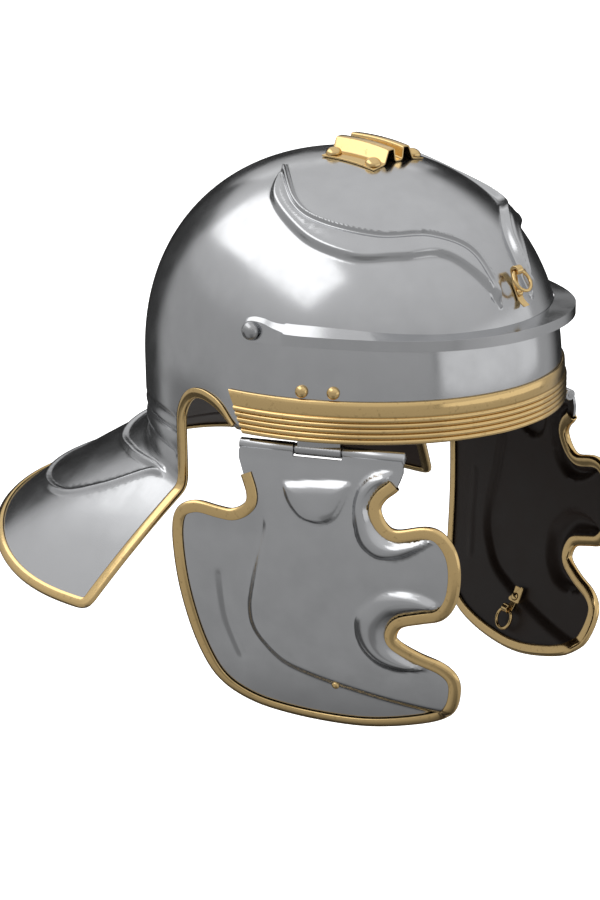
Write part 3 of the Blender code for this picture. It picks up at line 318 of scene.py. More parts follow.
class HelmetRelief(PropertyGroup):
    """Heights of the embossing"""
    wing_rise: FloatProperty(
        name="Eyebrow rise", description="Height of the embossed eyebrow wings",
        default=0.0032, min=0.0, max=0.005, unit="LENGTH")
    wing_bead: FloatProperty(
        name="Eyebrow bead", description="Height of the bead along each eyebrow's upper edge",
        default=0.0010, min=0.0, max=0.003, unit="LENGTH")
    rib_depth: FloatProperty(
        name="Nape rib depth", description="Depth of the grooves between the ribs of the nape",
        default=0.0028, min=0.0, max=0.004, unit="LENGTH")
    ridge_height: FloatProperty(
        name="Crescent ridge", description="Height of the ridges embossed in the neck guard",
        default=0.0018, min=0.0, max=0.004, unit="LENGTH")
    boss_rise: FloatProperty(
        name="Cheek boss", description="Height of the boss under the hinge",
        default=0.0030, min=0.0, max=0.005, unit="LENGTH")
    crescent_rise: FloatProperty(
        name="Cheek crescents", description="Height of the two crescents along the cheek piece's front",
        default=0.0036, min=0.0, max=0.005, unit="LENGTH")


class HelmetBrass(PropertyGroup):
    """The brass fittings and the rivets"""
    flange: FloatProperty(
        name="Trim width", description="How far the brass channel reaches over the sheet",
        default=0.0045, min=0.002, max=0.006, unit="LENGTH")
    trim_sheet: FloatProperty(
        name="Trim sheet", description="Thickness of the brass channel",
        default=0.0007, min=0.0003, max=0.001, unit="LENGTH")
    bead_count: IntProperty(
        name="Band beads", description="Number of beads along the brow band",
        default=5, min=1, max=8)
    bead_rise: FloatProperty(
        name="Bead rise", description="How far each bead stands out of the brow band",
        default=0.0012, min=0.0, max=0.0015, unit="LENGTH")
    hinge_rivet: FloatProperty(
        name="Hinge rivet radius", description="Radius of the domes over the brow band",
        default=0.0033, min=0.002, max=0.004, unit="LENGTH")
    crest_rivet: FloatProperty(
        name="Crest rivet radius", description="Radius of the domes of the crest holder",
        default=0.0042, min=0.002, max=0.005, unit="LENGTH")
    brow_rivet: FloatProperty(
        name="Brow rivet radius", description="Radius of the steel domes of the brow guard",
        default=0.0047, min=0.003, max=0.006, unit="LENGTH")
    strap_rivet: FloatProperty(
        name="Strap rivet radius", description="Radius of the rivets of the small straps",
        default=0.0021, min=0.001, max=0.003, unit="LENGTH")


class HelmetFinish(PropertyGroup):
    """Colours and polish"""
    steel: FloatVectorProperty(
        name="Steel", description="Colour of the polished steel", subtype="COLOR",
        default=light_from("#C9CACC"), min=0.0, max=1.0)
    brass: FloatVectorProperty(
        name="Brass", description="Colour of the polished brass", subtype="COLOR",
        default=light_from("#E6C68C"), min=0.0, max=1.0)
    inside: FloatVectorProperty(
        name="Inside", description="Colour of the browned inner face", subtype="COLOR",
        default=light_from("#1E140E"), min=0.0, max=1.0)
    # In the brass's folds this dark brown colour is painted shade; in its faint spots it is real tarnish.
    tarnish_and_shade: FloatVectorProperty(
        name="Tarnish", description="Colour of the brass in its recesses", subtype="COLOR",
        default=light_from("#5F4C28"), min=0.0, max=1.0)
    polish: FloatProperty(
        name="Roughness", description="Roughness of the polished steel",
        default=0.19, min=0.02, max=0.6, subtype="FACTOR")


class HelmetStudio(PropertyGroup):
    """Lights and floor"""
    window_light: FloatProperty(
        name="Window light", description="Power of the large soft light behind the wearer's right",
        default=5.0, min=0.0, max=500.0, unit="POWER")
    front_light: FloatProperty(
        name="Front card", description="Power of the card in front",
        default=9.6, min=0.0, max=500.0, unit="POWER")
    back_light: FloatProperty(
        name="Back panel", description="Power of the panel behind the neck guard",
        default=2.6, min=0.0, max=500.0, unit="POWER")
    floor_drop: FloatProperty(
        name="Floor drop", description="How far the floor lies under the rim",
        default=0.60, min=0.16, max=5.0, unit="LENGTH")


# Reading tables and measuring

def share(shares, low, high):
    """The value that lies the given share of the way from low to high."""
    return low + (high - low) * shares


def smooth_step(value):
    """0 below 0, 1 above 1, and an even rise between them."""
    value = min(1.0, max(0.0, value))
    return value * value * (3 - 2 * value)


def bump(distance, width):
    """A rounded ridge of height 1 and of the given full width."""
    if distance >= width / 2:
        return 0.0
    return 0.5 + 0.5 * math.cos(2 * math.pi * distance / width)


def curve_through(points, steps):
    """A smooth line through all the points, with so many steps from each to the next."""
    line = []
    for index in range(len(points) - 1):
        before = points[max(index - 1, 0)]
        start = points[index]
        end = points[index + 1]
        after = points[min(index + 2, len(points) - 1)]
        for step in range(steps):
            t = step / steps
            line.append(0.5 * (2 * start + (end - before) * t
                               + (2 * before - 5 * start + 4 * end - after) * t * t
                               + (3 * start - before - 3 * end + after) * t * t * t))
    line.append(points[-1].copy())
    return line


def nearest_on(point, line):
    """The nearest place on a line of straight pieces."""
    best = None
    for start, end in zip(line, line[1:]):
        along = end - start
        t = min(1.0, max(0.0, (point - start).dot(along) / max(along.length_squared, 1e-12)))
        place = start + along * t
        if best is None or (place - point).length_squared < (best - point).length_squared:
            best = place
    return best


def ruler(line):
    """A quick measure of how far a point is from a line of short straight pieces."""
    tree = KDTree(len(line))
    for index, point in enumerate(line):
        tree.insert(point, index)
    tree.balance()

    def measure(point):
        index = tree.find(point)[1]
        return (nearest_on(point, line[max(index - 1, 0):index + 2]) - point).length

    return measure


def inside(x, y, outline):
    """Whether a flat point lies within a closed outline."""
    within = False
    for a, b in zip(outline, outline[1:] + outline[:1]):
        if (a[1] > y) != (b[1] > y) and x < a[0] + (b[0] - a[0]) * (y - a[1]) / (b[1] - a[1]):
            within = not within
    return within


def slope_at(table, index, column):
    """The slope of a table's curve at a row, level where the curve turns."""
    if index <= 0 or index >= len(table) - 1:
        return 0.0
    before = (table[index][column] - table[index - 1][column]) / (table[index][0] - table[index - 1][0])
    after = (table[index + 1][column] - table[index][column]) / (table[index + 1][0] - table[index][0])
    if before * after <= 0:
        return 0.0
    return 2 * before * after / (before + after)


def read_smooth(table, position, column):
    """A column of a table, read between its rows along a smooth curve without overshoot."""
    position = min(max(position, table[0][0]), table[-1][0])
    index = 0
    while index < len(table) - 2 and position > table[index + 1][0]:
        index += 1
    start = table[index]
    end = table[index + 1]
    width = end[0] - start[0]
    t = (position - start[0]) / width
    rise = 3 * t * t - 2 * t * t * t
    return (share(rise, start[column], end[column])
            + width * slope_at(table, index, column) * (t - 2 * t * t + t * t * t)
            + width * slope_at(table, index + 1, column) * (t * t * t - t * t))


def flipped(point):
    """The same place or direction on the wearer's other side."""
    return Vector((-point.x, point.y, point.z))


def spaced(low, high, count):
    """So many even steps from low to high, both ends included."""
    return [share(index / count, low, high) for index in range(count + 1)]


def eased(values, passes):
    """The same points or directions with their corners softened a little, the ends kept."""
    for _ in range(passes):
        middle = [(before + value * 2 + after) / 4
                  for before, value, after in zip(values, values[1:], values[2:])]
        values = [values[0]] + middle + [values[-1]]
    return values


# The bowl's shape

def dome_share(height):
    """The width of the dome at a height, as a share of its width at the wall."""
    rise = max(0.0, (height - WALL_HEIGHT) / (CROWN_HEIGHT - WALL_HEIGHT))
    return max(0.0, 1 - rise ** DOME_POWER) ** (1 / DOME_POWER)


def wall_point(angle, height, out=0.0):
    """A point of the bowl's outer face, moved level outwards from it."""
    width = BOWL_WIDTH / 2
    length = BOWL_LENGTH / 2
    size = dome_share(height)
    level = Vector((math.sin(angle) / width, -math.cos(angle) / length, 0)).normalized()
    return Vector((width * size * math.sin(angle), -length * size * math.cos(angle), height)) + level * out


def level_out(angle):
    """The level outward direction at an angle round the bowl."""
    return wall_point(angle, 0, 1) - wall_point(angle, 0)


def dome_point(angle, climb):
    """A point of the bowl's outer face, climbing from the wall (0) to the crown (a quarter turn)."""
    if climb > math.pi / 2 - 1e-6:
        return Vector((0, 0, CROWN_HEIGHT))
    return wall_point(angle, WALL_HEIGHT + (CROWN_HEIGHT - WALL_HEIGHT) * math.sin(climb) ** (2 / DOME_POWER))


def crown_height(x, y):
    """The height of the bowl's outer face over a place seen from above."""
    flat = math.hypot(2 * x / BOWL_WIDTH, 2 * y / BOWL_LENGTH)
    rise = max(0.0, 1 - min(flat, 1.0) ** DOME_POWER) ** (1 / DOME_POWER)
    return WALL_HEIGHT + (CROWN_HEIGHT - WALL_HEIGHT) * rise


def crown_normal(x, y):
    """The outward direction of the bowl's outer face over a place seen from above."""
    step = 0.0005
    slope_x = (crown_height(x + step, y) - crown_height(x - step, y)) / (2 * step)
    slope_y = (crown_height(x, y + step) - crown_height(x, y - step)) / (2 * step)
    return Vector((-slope_x, -slope_y, 1)).normalized()


def arch_height(angle):
    """The lower edge of the skull: level in front, arched over the ear, level at the nape."""
    return EAR_HEIGHT * read_smooth(ARCH, (angle - EAR_FRONT) / (EAR_BACK - EAR_FRONT), 1)


def nape_point(angle, line):
    """A point of the ribbed nape, on a level line that may lie between two of the table's."""
    side = abs(math.pi - angle) / (math.pi - EAR_BACK)
    drop = share(side * side, read_smooth(NAPE_LINES, line, 2), read_smooth(NAPE_LINES, line, 1))
    rib = abs(math.sin(math.pi * line / 4)) ** 0.55 if line > 0 else 0.0
    if line < 2:
        rib = share(1 - line / 2, rib, 1 - 0.5 * line / 2)
    fade = smooth_step((angle - EAR_BACK - math.radians(2.3)) / math.radians(4))
    depth = bpy.context.scene.helmet_relief.rib_depth
    return wall_point(angle, -NAPE_DEPTH * drop, -depth * (1 - rib) * fade)


def guard_edge_point(angle):
    """A point of the neck guard's outer edge, straight out from a place on the nape."""
    side = (angle - math.pi) / (math.pi - EAR_BACK)
    turn = -side * math.pi / 2
    reach = ((abs(math.sin(turn)) / GUARD_HALF_WIDTH) ** GUARD_SQUARENESS
             + (abs(math.cos(turn)) / GUARD_LENGTH) ** GUARD_SQUARENESS) ** (-1 / GUARD_SQUARENESS)
    x = reach * math.sin(turn)
    drop = share(abs(x / GUARD_HALF_WIDTH) ** 4, GUARD_BACK_DROP, GUARD_CORNER_DROP)
    return Vector((x, GUARD_START + reach * math.cos(turn), -drop))


def guard_point(angle, out):
    """A point of the neck guard, a share of the way out from the nape to the edge."""
    point = nape_point(angle, 10).lerp(guard_edge_point(angle), out)
    point.z += GUARD_CROWN * 4 * out * (1 - out)
    return point


def guard_normal(angle, out):
    """The upward direction of the neck guard's outer face."""
    inner = max(out - 0.02, 0.0)
    outer = min(out + 0.02, 1.0)
    turn = math.radians(2)
    beside = angle - turn if angle + turn > math.pi else angle + turn
    along = guard_point(angle, outer) - guard_point(angle, inner)
    across = guard_point(beside, out) - guard_point(angle, out)
    normal = along.cross(across).normalized()
    return normal if normal.z > 0 else -normal


def crescent_lines():
    """The guard's embossed ridges, on its outer face."""
    lines = []
    for column in (1, 2):
        side = []
        for row in CRESCENT:
            side.append(guard_point(math.pi - row[0] * (math.pi - EAR_BACK), row[column]))
        other = [flipped(point) for point in reversed(side[1:])]
        lines.append(curve_through(other + side, 16))
    return lines


def wing_edges(side):
    """The lower and upper edges of an eyebrow wing, on the bowl's outer face."""
    edges = []
    for column in (0, 1):
        flat = [Vector((side * row[column][0] * BOWL_WIDTH / 2, -row[column][1] * BOWL_LENGTH / 2, 0))
                for row in WING]
        line = curve_through(flat, 24)
        for point in line:
            point.z = crown_height(point.x, point.y)
        edges.append(line)
    return edges


def wing_relief(to_lower, to_upper):
    """How far the sheet is raised inside a wing: a crisp lower step, a bead along the upper edge."""
    sizes = bpy.context.scene.helmet_relief
    face = sizes.wing_rise * smooth_step(to_lower / WING_STEP)
    face += 0.0004 * bump(abs(to_lower - 0.0040), WING_STEP)
    groove = 0.0009 * bump(abs(to_upper - WING_GROOVE), WING_STEP)
    bead = sizes.wing_bead * bump(abs(to_upper - WING_BEAD), 0.0044)
    # Where the wing is narrow, at its tip behind, the bead and its groove fade out.
    wide = smooth_step((to_lower + to_upper - 0.003) / 0.004)
    return (face + (bead - groove) * wide) * smooth_step(to_upper / WING_UPPER_STEP)


# Making meshes and pieces

def mesh_from(bm, name, sharp=35):
    """A smooth mesh whose edges are sharp where they turn more than so many degrees."""
    mesh = bpy.data.meshes.new(name)
    bm.to_mesh(mesh)
    bm.free()
    mesh.shade_smooth()
    mesh.set_sharp_from_angle(angle=math.radians(sharp))
    return mesh


def grid_of(columns, rows, place):
    """A grid whose corners are placed one by one. Corners that place() gives None are left out."""
    bm = bmesh.new()
    bmesh.ops.create_grid(bm, x_segments=columns, y_segments=rows, size=1)
    gone = []
    for vert in bm.verts:
        point = place(round((vert.co.x + 1) / 2 * columns), round((vert.co.y + 1) / 2 * rows))
        if point is None:
            gone.append(vert)
        else:
            vert.co = point
    bmesh.ops.delete(bm, geom=gone, context="VERTS")
    return bm


def sweep(sections):
    """A closed body through closed sections that have the same number of points each."""
    count = len(sections[0])
    bm = grid_of(len(sections) - 1, count, lambda column, row: sections[column][row % count])
    bmesh.ops.remove_doubles(bm, verts=bm.verts, dist=1e-7)
    bmesh.ops.holes_fill(bm, edges=[edge for edge in bm.edges if edge.is_boundary], sides=0)
    bmesh.ops.recalc_face_normals(bm, faces=bm.faces)
    return bm


def face_up(bm, direction):
    """Turn an open sheet so that most of it faces the direction."""
    bmesh.ops.recalc_face_normals(bm, faces=bm.faces)
    bm.normal_update()
    if sum(face.normal.dot(direction) * face.calc_area() for face in bm.faces) < 0:
        bmesh.ops.reverse_faces(bm, faces=bm.faces)
        bm.normal_update()


def frame_along(origin, direction, up=Vector((0, 0, 1))):
    """A placing matrix whose Z runs along the direction."""
    z = direction.normalized()
    x = up.cross(z)
    if x.length < 1e-6:
        x = Vector((1, 0, 0))
    x.normalize()
    matrix = Matrix((x, z.cross(x), z)).transposed().to_4x4()
    matrix.translation = origin
    return matrix


def spun(bm, line, sides, matrix):
    """Turn a line once round the Z axis, close the body, and put it in its place."""
    bmesh.ops.spin(bm, geom=line, cent=(0, 0, 0), axis=(0, 0, 1), angle=2 * math.pi,
                   steps=sides, use_merge=True)
    bmesh.ops.remove_doubles(bm, verts=bm.verts, dist=1e-6)
    bmesh.ops.recalc_face_normals(bm, faces=bm.faces)
    bmesh.ops.transform(bm, matrix=matrix, verts=bm.verts)
    return bm


def turned(profile, sides, matrix):
    """A closed turned body from (radius, height) points, listed from the bottom to the top."""
    bm = bmesh.new()
    verts = [bm.verts.new((radius, 0, height)) for radius, height in profile]
    edges = [bm.edges.new(pair) for pair in zip(verts, verts[1:])]
    return spun(bm, verts + edges, sides, matrix)


def join(bm, other):
    """Put another mesh's shell beside the first one's in the same piece."""
    mesh = bpy.data.meshes.new("shell")
    other.to_mesh(mesh)
    other.free()
    bm.from_mesh(mesh)
    bpy.data.meshes.remove(mesh)


def mirrored(mesh, name):
    """The same mesh for the wearer's other side."""
    bm = bmesh.new()
    bm.from_mesh(mesh)
    bmesh.ops.scale(bm, vec=(-1, 1, 1), verts=bm.verts)
    bmesh.ops.reverse_faces(bm, faces=bm.faces)
    return mesh_from(bm, name)


def piece(name, mesh, node, body, slot, *finishes):
    """A finished piece that stands for a node of the frame and rides with its body."""
    made = bpy.data.objects.new(name, mesh)
    bpy.context.scene.collection.objects.link(made)
    for finish in finishes:
        mesh.materials.append(finish)
    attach(made, body)
    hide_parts(node)
    return made


def both_sides(name, mesh, node, body, slot, *finishes):
    """A piece on the wearer's right and its mirror image on the left, on one body or on the cheek pieces."""
    left = mirrored(mesh, name + "_left")
    pair = []
    for side, shape in (("right", mesh), ("left", left)):
        rides_with = body or "cheek_" + side
        pair.append(piece("%s_%s" % (name, side), shape, "%s_%s" % (node, side), rides_with, slot, *finishes))
    return pair


def thicken(made, thickness, inner_finish):
    """Give a sheet its thickness inwards, with the piece's numbered finish on its inner face."""
    wall = made.modifiers.new("sheet", "SOLIDIFY")
    wall.thickness = thickness
    wall.offset = -1
    wall.material_offset = inner_finish


def soften(made, width, segments=2, angle=30):
    """Round the sharp edges a little, as filing and polishing do."""
    edge = made.modifiers.new("soft_edges", "BEVEL")
    edge.width = width
    edge.segments = segments
    edge.limit_method = "ANGLE"
    edge.angle_limit = math.radians(angle)


# Finishes

def add_node(tree, kind, settings, **links):
    """Add a node, set its properties and sockets, and link other nodes' outputs into it."""
    node = tree.nodes.new(kind)
    for key, value in settings.items():
        if isinstance(key, int) or key in node.inputs:
            node.inputs[key].default_value = value
        else:
            setattr(node, key, value)
    for key, source in links.items():
        socket = int(key[1:]) if key[0] == "i" and key[1:].isdigit() else key.replace("_", " ")
        tree.links.new(source, node.inputs[socket])
    return node


def combine(tree, operation, first, second):
    """Two values brought together by a named operation."""
    return add_node(tree, "ShaderNodeMath", {"operation": operation}, i0=first, i1=second).outputs[0]


def mixed(tree, by, first, second):
    """A colour that goes from the first to the second as the value goes from 0 to 1."""
    return add_node(tree, "ShaderNodeMix", {"data_type": "RGBA", 6: (*first, 1), 7: (*second, 1)}, i0=by)


def new_finish(name):
    """An empty material with its shader, its node tree and object coordinates."""
    made = bpy.data.materials.new(name)
    made.use_nodes = True
    tree = made.node_tree
    shader = tree.nodes["Principled BSDF"]
    place = tree.nodes.new("ShaderNodeTexCoord").outputs["Object"]
    return made, tree, shader, place


def close_finish(tree, shader, tint, dull, relief, metallic):
    """Link a finish's colour, roughness and bumps into its shader."""
    tree.links.new(tint.outputs[2], shader.inputs["Base Color"])
    tree.links.new(dull.outputs[0], shader.inputs["Roughness"])
    tree.links.new(relief.outputs[0], shader.inputs["Normal"])
    shader.inputs["Metallic"].default_value = metallic


def polished_steel(name, colour, roughness, wear):
    """Mild steel sheet raised by hammer, ground and buffed to a mirror."""
    made, tree, shader, place = new_finish(name)
    # Hammering leaves the sheet faintly wavy, about 35 mm from crest to crest, so that
    # the edges of every reflection wander.
    waves = add_node(tree, "ShaderNodeTexNoise", {"Scale": 28.0, "Detail": 1.0}, Vector=place)
    wavy = add_node(tree, "ShaderNodeBump", {"Strength": 0.22, "Distance": 0.0012}, Height=waves.outputs[0])
    # Buffing lines run round the bowl: real ones are far under 0.1 mm apart and are drawn
    # about 0.6 mm apart, so that they just show as a brushed softness.
    flat = add_node(tree, "ShaderNodeMapping", {"Scale": (120.0, 120.0, 1600.0)}, Vector=place)
    lines = add_node(tree, "ShaderNodeTexNoise", {"Scale": 1.0, "Detail": 3.0}, Vector=flat.outputs[0])
    lined = add_node(tree, "ShaderNodeBump", {"Strength": 0.10 * wear, "Distance": 0.00006},
                     Height=lines.outputs[0], Normal=wavy.outputs[0])
    # Handling leaves cloudy patches 10 to 20 mm across that dull the mirror a little.
    clouds = add_node(tree, "ShaderNodeTexNoise", {"Scale": 75.0, "Detail": 4.0}, Vector=place)
    dull = add_node(tree, "ShaderNodeMapRange", {
        "From Min": 0.35, "From Max": 0.75,
        "To Min": roughness * 0.85, "To Max": roughness * (1.15 + 0.25 * wear),
    }, Value=clouds.outputs[0])
    tint = mixed(tree, clouds.outputs[0], colour, [part * 0.86 for part in colour])
    close_finish(tree, shader, tint, dull, lined, 1.0)
    return made


def polished_brass(name, colour, tarnish_and_shade, roughness):
    """Yellow brass sheet, folded or rolled, buffed on its high places."""
    made, tree, shader, place = new_finish(name)
    # Hand finishing leaves dents about 8 mm long along the strips.
    dents = add_node(tree, "ShaderNodeTexNoise", {"Scale": 130.0, "Detail": 2.0}, Vector=place)
    dented = add_node(tree, "ShaderNodeBump", {"Strength": 0.25, "Distance": 0.0003}, Height=dents.outputs[0])
    # Painted shade darkens the brass in its folds, where the pointiness is low, and real tarnish lies on it
    # as faint spots.
    fold = tree.nodes.new("ShaderNodeNewGeometry").outputs["Pointiness"]
    spots = add_node(tree, "ShaderNodeTexNoise", {"Scale": 420.0, "Detail": 4.0}, Vector=place)
    bright = add_node(tree, "ShaderNodeMapRange", {"From Min": 0.40, "From Max": 0.49}, Value=fold)
    spotted = add_node(tree, "ShaderNodeMapRange", {
        "From Min": 0.26, "From Max": 0.40, "To Min": 0.72,
    }, Value=spots.outputs[0])
    unspotted_and_unshaded = combine(tree, "MULTIPLY", bright.outputs[0], spotted.outputs[0])
    tint = mixed(tree, unspotted_and_unshaded, tarnish_and_shade, colour)
    dull = add_node(tree, "ShaderNodeMapRange", {"To Min": roughness + 0.2, "To Max": roughness}, Value=unspotted_and_unshaded)
    close_finish(tree, shader, tint, dull, dented, 1.0)
    return made


def browned_steel(name, colour):
    """The inner face, left as forged and browned with an oily black-brown finish."""
    made, tree, shader, place = new_finish(name)
    # Forge scale and oil give patches 10 to 30 mm across, and a fine sandy grain of about 1 mm.
    patches = add_node(tree, "ShaderNodeTexNoise", {"Scale": 55.0, "Detail": 5.0}, Vector=place)
    grain = add_node(tree, "ShaderNodeTexNoise", {"Scale": 900.0, "Detail": 2.0}, Vector=place)
    rough = add_node(tree, "ShaderNodeBump", {"Strength": 0.2, "Distance": 0.0001}, Height=grain.outputs[0])
    tint = mixed(tree, patches.outputs[0], [part * 0.45 for part in colour], colour)
    dull = add_node(tree, "ShaderNodeMapRange", {"To Min": 0.34, "To Max": 0.52}, Value=patches.outputs[0])
    close_finish(tree, shader, tint, dull, rough, 0.2)
    return made


def finish(name):
    """One of the helmet's finishes, made the first time that it is asked for."""
    made = bpy.data.materials.get(name)
    if made is not None:
        return made
    colours = bpy.context.scene.helmet_finish
    if name == "buffed_steel":
        return polished_steel(name, colours.steel, colours.polish, 0.4)
    if name == "worn_steel":
        # Rivets and hinges are handled more and polished less.
        return polished_steel(name, [part * 0.8 for part in colours.steel], colours.polish + 0.06, 1.0)
    if name == "buffed_brass":
        return polished_brass(name, colours.brass, colours.tarnish_and_shade, 0.16)
    return browned_steel("browned_steel", colours.inside)


# Bowl

def bowl_sheet():
    """The bowl's outer face as an open grid: dome, wall, ribbed nape and neck guard."""
    # Columns go round the bowl in even steps, and rows go down the dome, the wall, the nape and
    # out along the guard.
    front = spaced(0, EAR_FRONT, 64)
    arch = spaced(EAR_FRONT, EAR_BACK, 14)
    back = spaced(EAR_BACK, math.pi, 36)
    half = front[:-1] + arch[:-1] + back
    angles = half + [2 * math.pi - angle for angle in reversed(half[:-1])]
    climbs = spaced(math.pi / 2, math.radians(16.5), 56)
    walls = spaced(0, 1, 14)[1:]
    napes = spaced(0, 10, 34)
    guards = spaced(0, 1, 36)[1:]
    top = dome_point(0, climbs[-1]).z

    def place(column, row):
        angle = angles[column]
        folded = min(angle, 2 * math.pi - angle)
        if row < len(climbs):
            return dome_point(angle, climbs[row])
        row -= len(climbs)
        if row < len(walls):
            return wall_point(angle, share(walls[row], top, arch_height(folded)))
        row -= len(walls)
        if folded < EAR_BACK - 1e-6:
            return None
        if row < len(napes):
            point = nape_point(folded, napes[row])
        else:
            point = guard_point(folded, guards[row - len(napes)])
        return flipped(point) if folded < angle else point

    bm = grid_of(len(angles) - 1, len(climbs) + len(walls) + len(napes) + len(guards) - 1, place)
    bmesh.ops.remove_doubles(bm, verts=bm.verts, dist=1e-6)
    face_up(bm, Vector((0, 0, 1)))
    return bm


def refine_near(bm, measures, reach):
    """Halve the grid where it is near a line, so that the relief there comes out crisp."""
    near = set()
    for vert in bm.verts:
        if min(measure(vert.co) for measure in measures) < reach:
            near.add(vert)
    edges = [edge for edge in bm.edges if edge.verts[0] in near and edge.verts[1] in near]
    bmesh.ops.subdivide_edges(bm, edges=edges, cuts=1, use_grid_fill=True)


def seat_on_dome(bm):
    """Put every corner of the dome back on its true curve."""
    for vert in bm.verts:
        x, y, z = vert.co
        # Near the crown the face is nearly level, so that its height is the better measure.
        if z > 0.1:
            vert.co.z = crown_height(x, y)
        elif z > BROW_LEVEL:
            flat = math.hypot(2 * x / BOWL_WIDTH, 2 * y / BOWL_LENGTH)
            vert.co.x *= dome_share(z) / flat
            vert.co.y *= dome_share(z) / flat


def emboss_bowl(bm):
    """Raise the eyebrow wings and the crescent of the neck guard."""
    wings = []
    for side in (-1, 1):
        lower, upper = wing_edges(side)
        outline = [(point.x, point.y) for point in lower[::2] + upper[::-2]]
        wings.append((side, ruler(lower), ruler(upper), outline))
    ridges = [ruler(line) for line in crescent_lines()]
    fold = ruler([guard_point(angle, 0) for angle in spaced(EAR_BACK, 2 * math.pi - EAR_BACK, 90)])
    soft = [vert for vert in bm.verts
            if not vert.is_boundary and vert.co.z < -0.018 and fold(vert.co) < 0.004]
    for _ in range(5):
        bmesh.ops.smooth_vert(bm, verts=soft, factor=0.5, use_axis_x=True, use_axis_y=True, use_axis_z=True)
    uppers = [wing[2] for wing in wings]
    # The grid is halved once beside every line, and once more along the finest ones.
    for lines, reach in (([wing[1] for wing in wings] + uppers, 0.0078), (uppers, 0.0070),
                         (ridges, 0.0085), (ridges, 0.0040)):
        refine_near(bm, lines, reach)
    seat_on_dome(bm)
    bm.normal_update()
    normals = {vert: vert.normal.copy() for vert in bm.verts}
    relief = bpy.context.scene.helmet_relief
    for vert in bm.verts:
        point = vert.co
        if point.z > BROW_LEVEL:
            for side, to_lower, to_upper, outline in wings:
                if point.x * side > 0 and inside(point.x, point.y, outline):
                    vert.co += normals[vert] * wing_relief(to_lower(point), to_upper(point))
        elif point.z < -NAPE_DEPTH * 0.6 and not vert.is_boundary:
            nearest = min(measure(point) for measure in ridges)
            vert.co += normals[vert] * relief.ridge_height * bump(nearest, RIDGE_WIDTH)


class HELMET_OT_bowl(Operator):
    """Make the bowl with its eyebrow wings, ear arches, ribbed nape and neck guard"""
    bl_idname = "helmet.bowl"
    bl_label = "Bowl"

    def execute(self, context):
        bm = bowl_sheet()
        emboss_bowl(bm)
        made = piece("raised_bowl", mesh_from(bm, "raised_bowl", 60), "bowl", "helmet", "steel",
                     finish("buffed_steel"), finish("browned_steel"))
        thicken(made, SHEET, 1)
        return {"FINISHED"}


# Brass over the edges

def channel_profile(flange, near, crown):
    """A brass channel's section: along into the sheet, and out of its face, round the free edge."""
    brass = bpy.context.scene.helmet_brass
    far = near + brass.trim_sheet
    round_off = brass.trim_sheet * 0.45
    radius = far + SHEET / 2
    nose = radius - TRIM_EDGE_GAP - brass.trim_sheet
    outer = [(flange, far - round_off), (flange - round_off * 0.3, far - round_off * 0.3),
             (flange - round_off, far)]
    for step in (0.25, 0.5, 0.75):
        outer.append((share(step, flange - round_off, nose), far + crown * math.sin(math.pi * step)))
    for turn in spaced(math.pi / 2, math.pi, 5):
        outer.append((nose + radius * math.cos(turn), radius * math.sin(turn) - SHEET / 2))
    lower = [(along, -SHEET - out) for along, out in reversed(outer[:-1])]
    inner = [(flange, -SHEET - near), (-TRIM_EDGE_GAP * 0.9, -SHEET - near),
             (-TRIM_EDGE_GAP * 0.9, near), (flange, near)]
    return outer + lower + inner


def channel_section(point, into, normal, profile):
    """A channel's profile laid round a place of the sheet's edge."""
    return [point + into * along + normal * out for along, out in profile]


def edge_frames(edge, outward):
    """Directions into the sheet and out of its face along an edge line."""
    inward = []
    normals = []
    for index, hint in enumerate(outward):
        along = (edge[min(index + 1, len(edge) - 1)] - edge[max(index - 1, 0)]).normalized()
        normal = (hint - along * hint.dot(along)).normalized()
        inward.append(normal.cross(along))
        normals.append(normal)
    return inward, normals


def ear_and_guard_edge():
    """The bowl's free edge from the brow band over the ear, down the nape and out round the guard."""
    side = []
    for part in spaced(0.06, 1, 34):
        angle = share(part, EAR_FRONT, EAR_BACK)
        side.append((wall_point(angle, arch_height(angle)), level_out(angle), part))
    level = level_out(EAR_BACK)
    for line in spaced(0.5, 9.6, 20):
        side.append((nape_point(EAR_BACK, line), level, 1))
    for out in spaced(0.0, 1, 36)[:-1]:
        side.append((guard_point(EAR_BACK, out), guard_normal(EAR_BACK, out), 1))
    for angle in spaced(EAR_BACK, math.pi, 70):
        side.append((guard_point(angle, 1), guard_normal(angle, 1), 1))
    return side


class HELMET_OT_edge_trim(Operator):
    """Make the brass channel over the ear arches, the nape and the neck guard"""
    bl_idname = "helmet.edge_trim"
    bl_label = "Edge trim"

    def execute(self, context):
        side = ear_and_guard_edge()
        other = [(flipped(point), flipped(out), part) for point, out, part in reversed(side[:-1])]
        path = side + other
        edge = eased([item[0] for item in path], 3)
        inward, normals = edge_frames(edge, eased([item[1] for item in path], 6))
        inward = eased(inward, 2)
        sections = []
        flange = context.scene.helmet_brass.flange
        for point, into, normal, item in zip(edge, inward, normals, path):
            wide = flange * share(smooth_step(item[2] / 0.4), 0.30, 0.92)
            sections.append(channel_section(point, into, normal, channel_profile(wide, TRIM_GAP, TRIM_CROWN)))
        mesh = mesh_from(sweep(sections), "edge_trim", 50)
        piece("edge_trim", mesh, "ear_neck_trim", "helmet", "brass", finish("buffed_brass"))
        return {"FINISHED"}


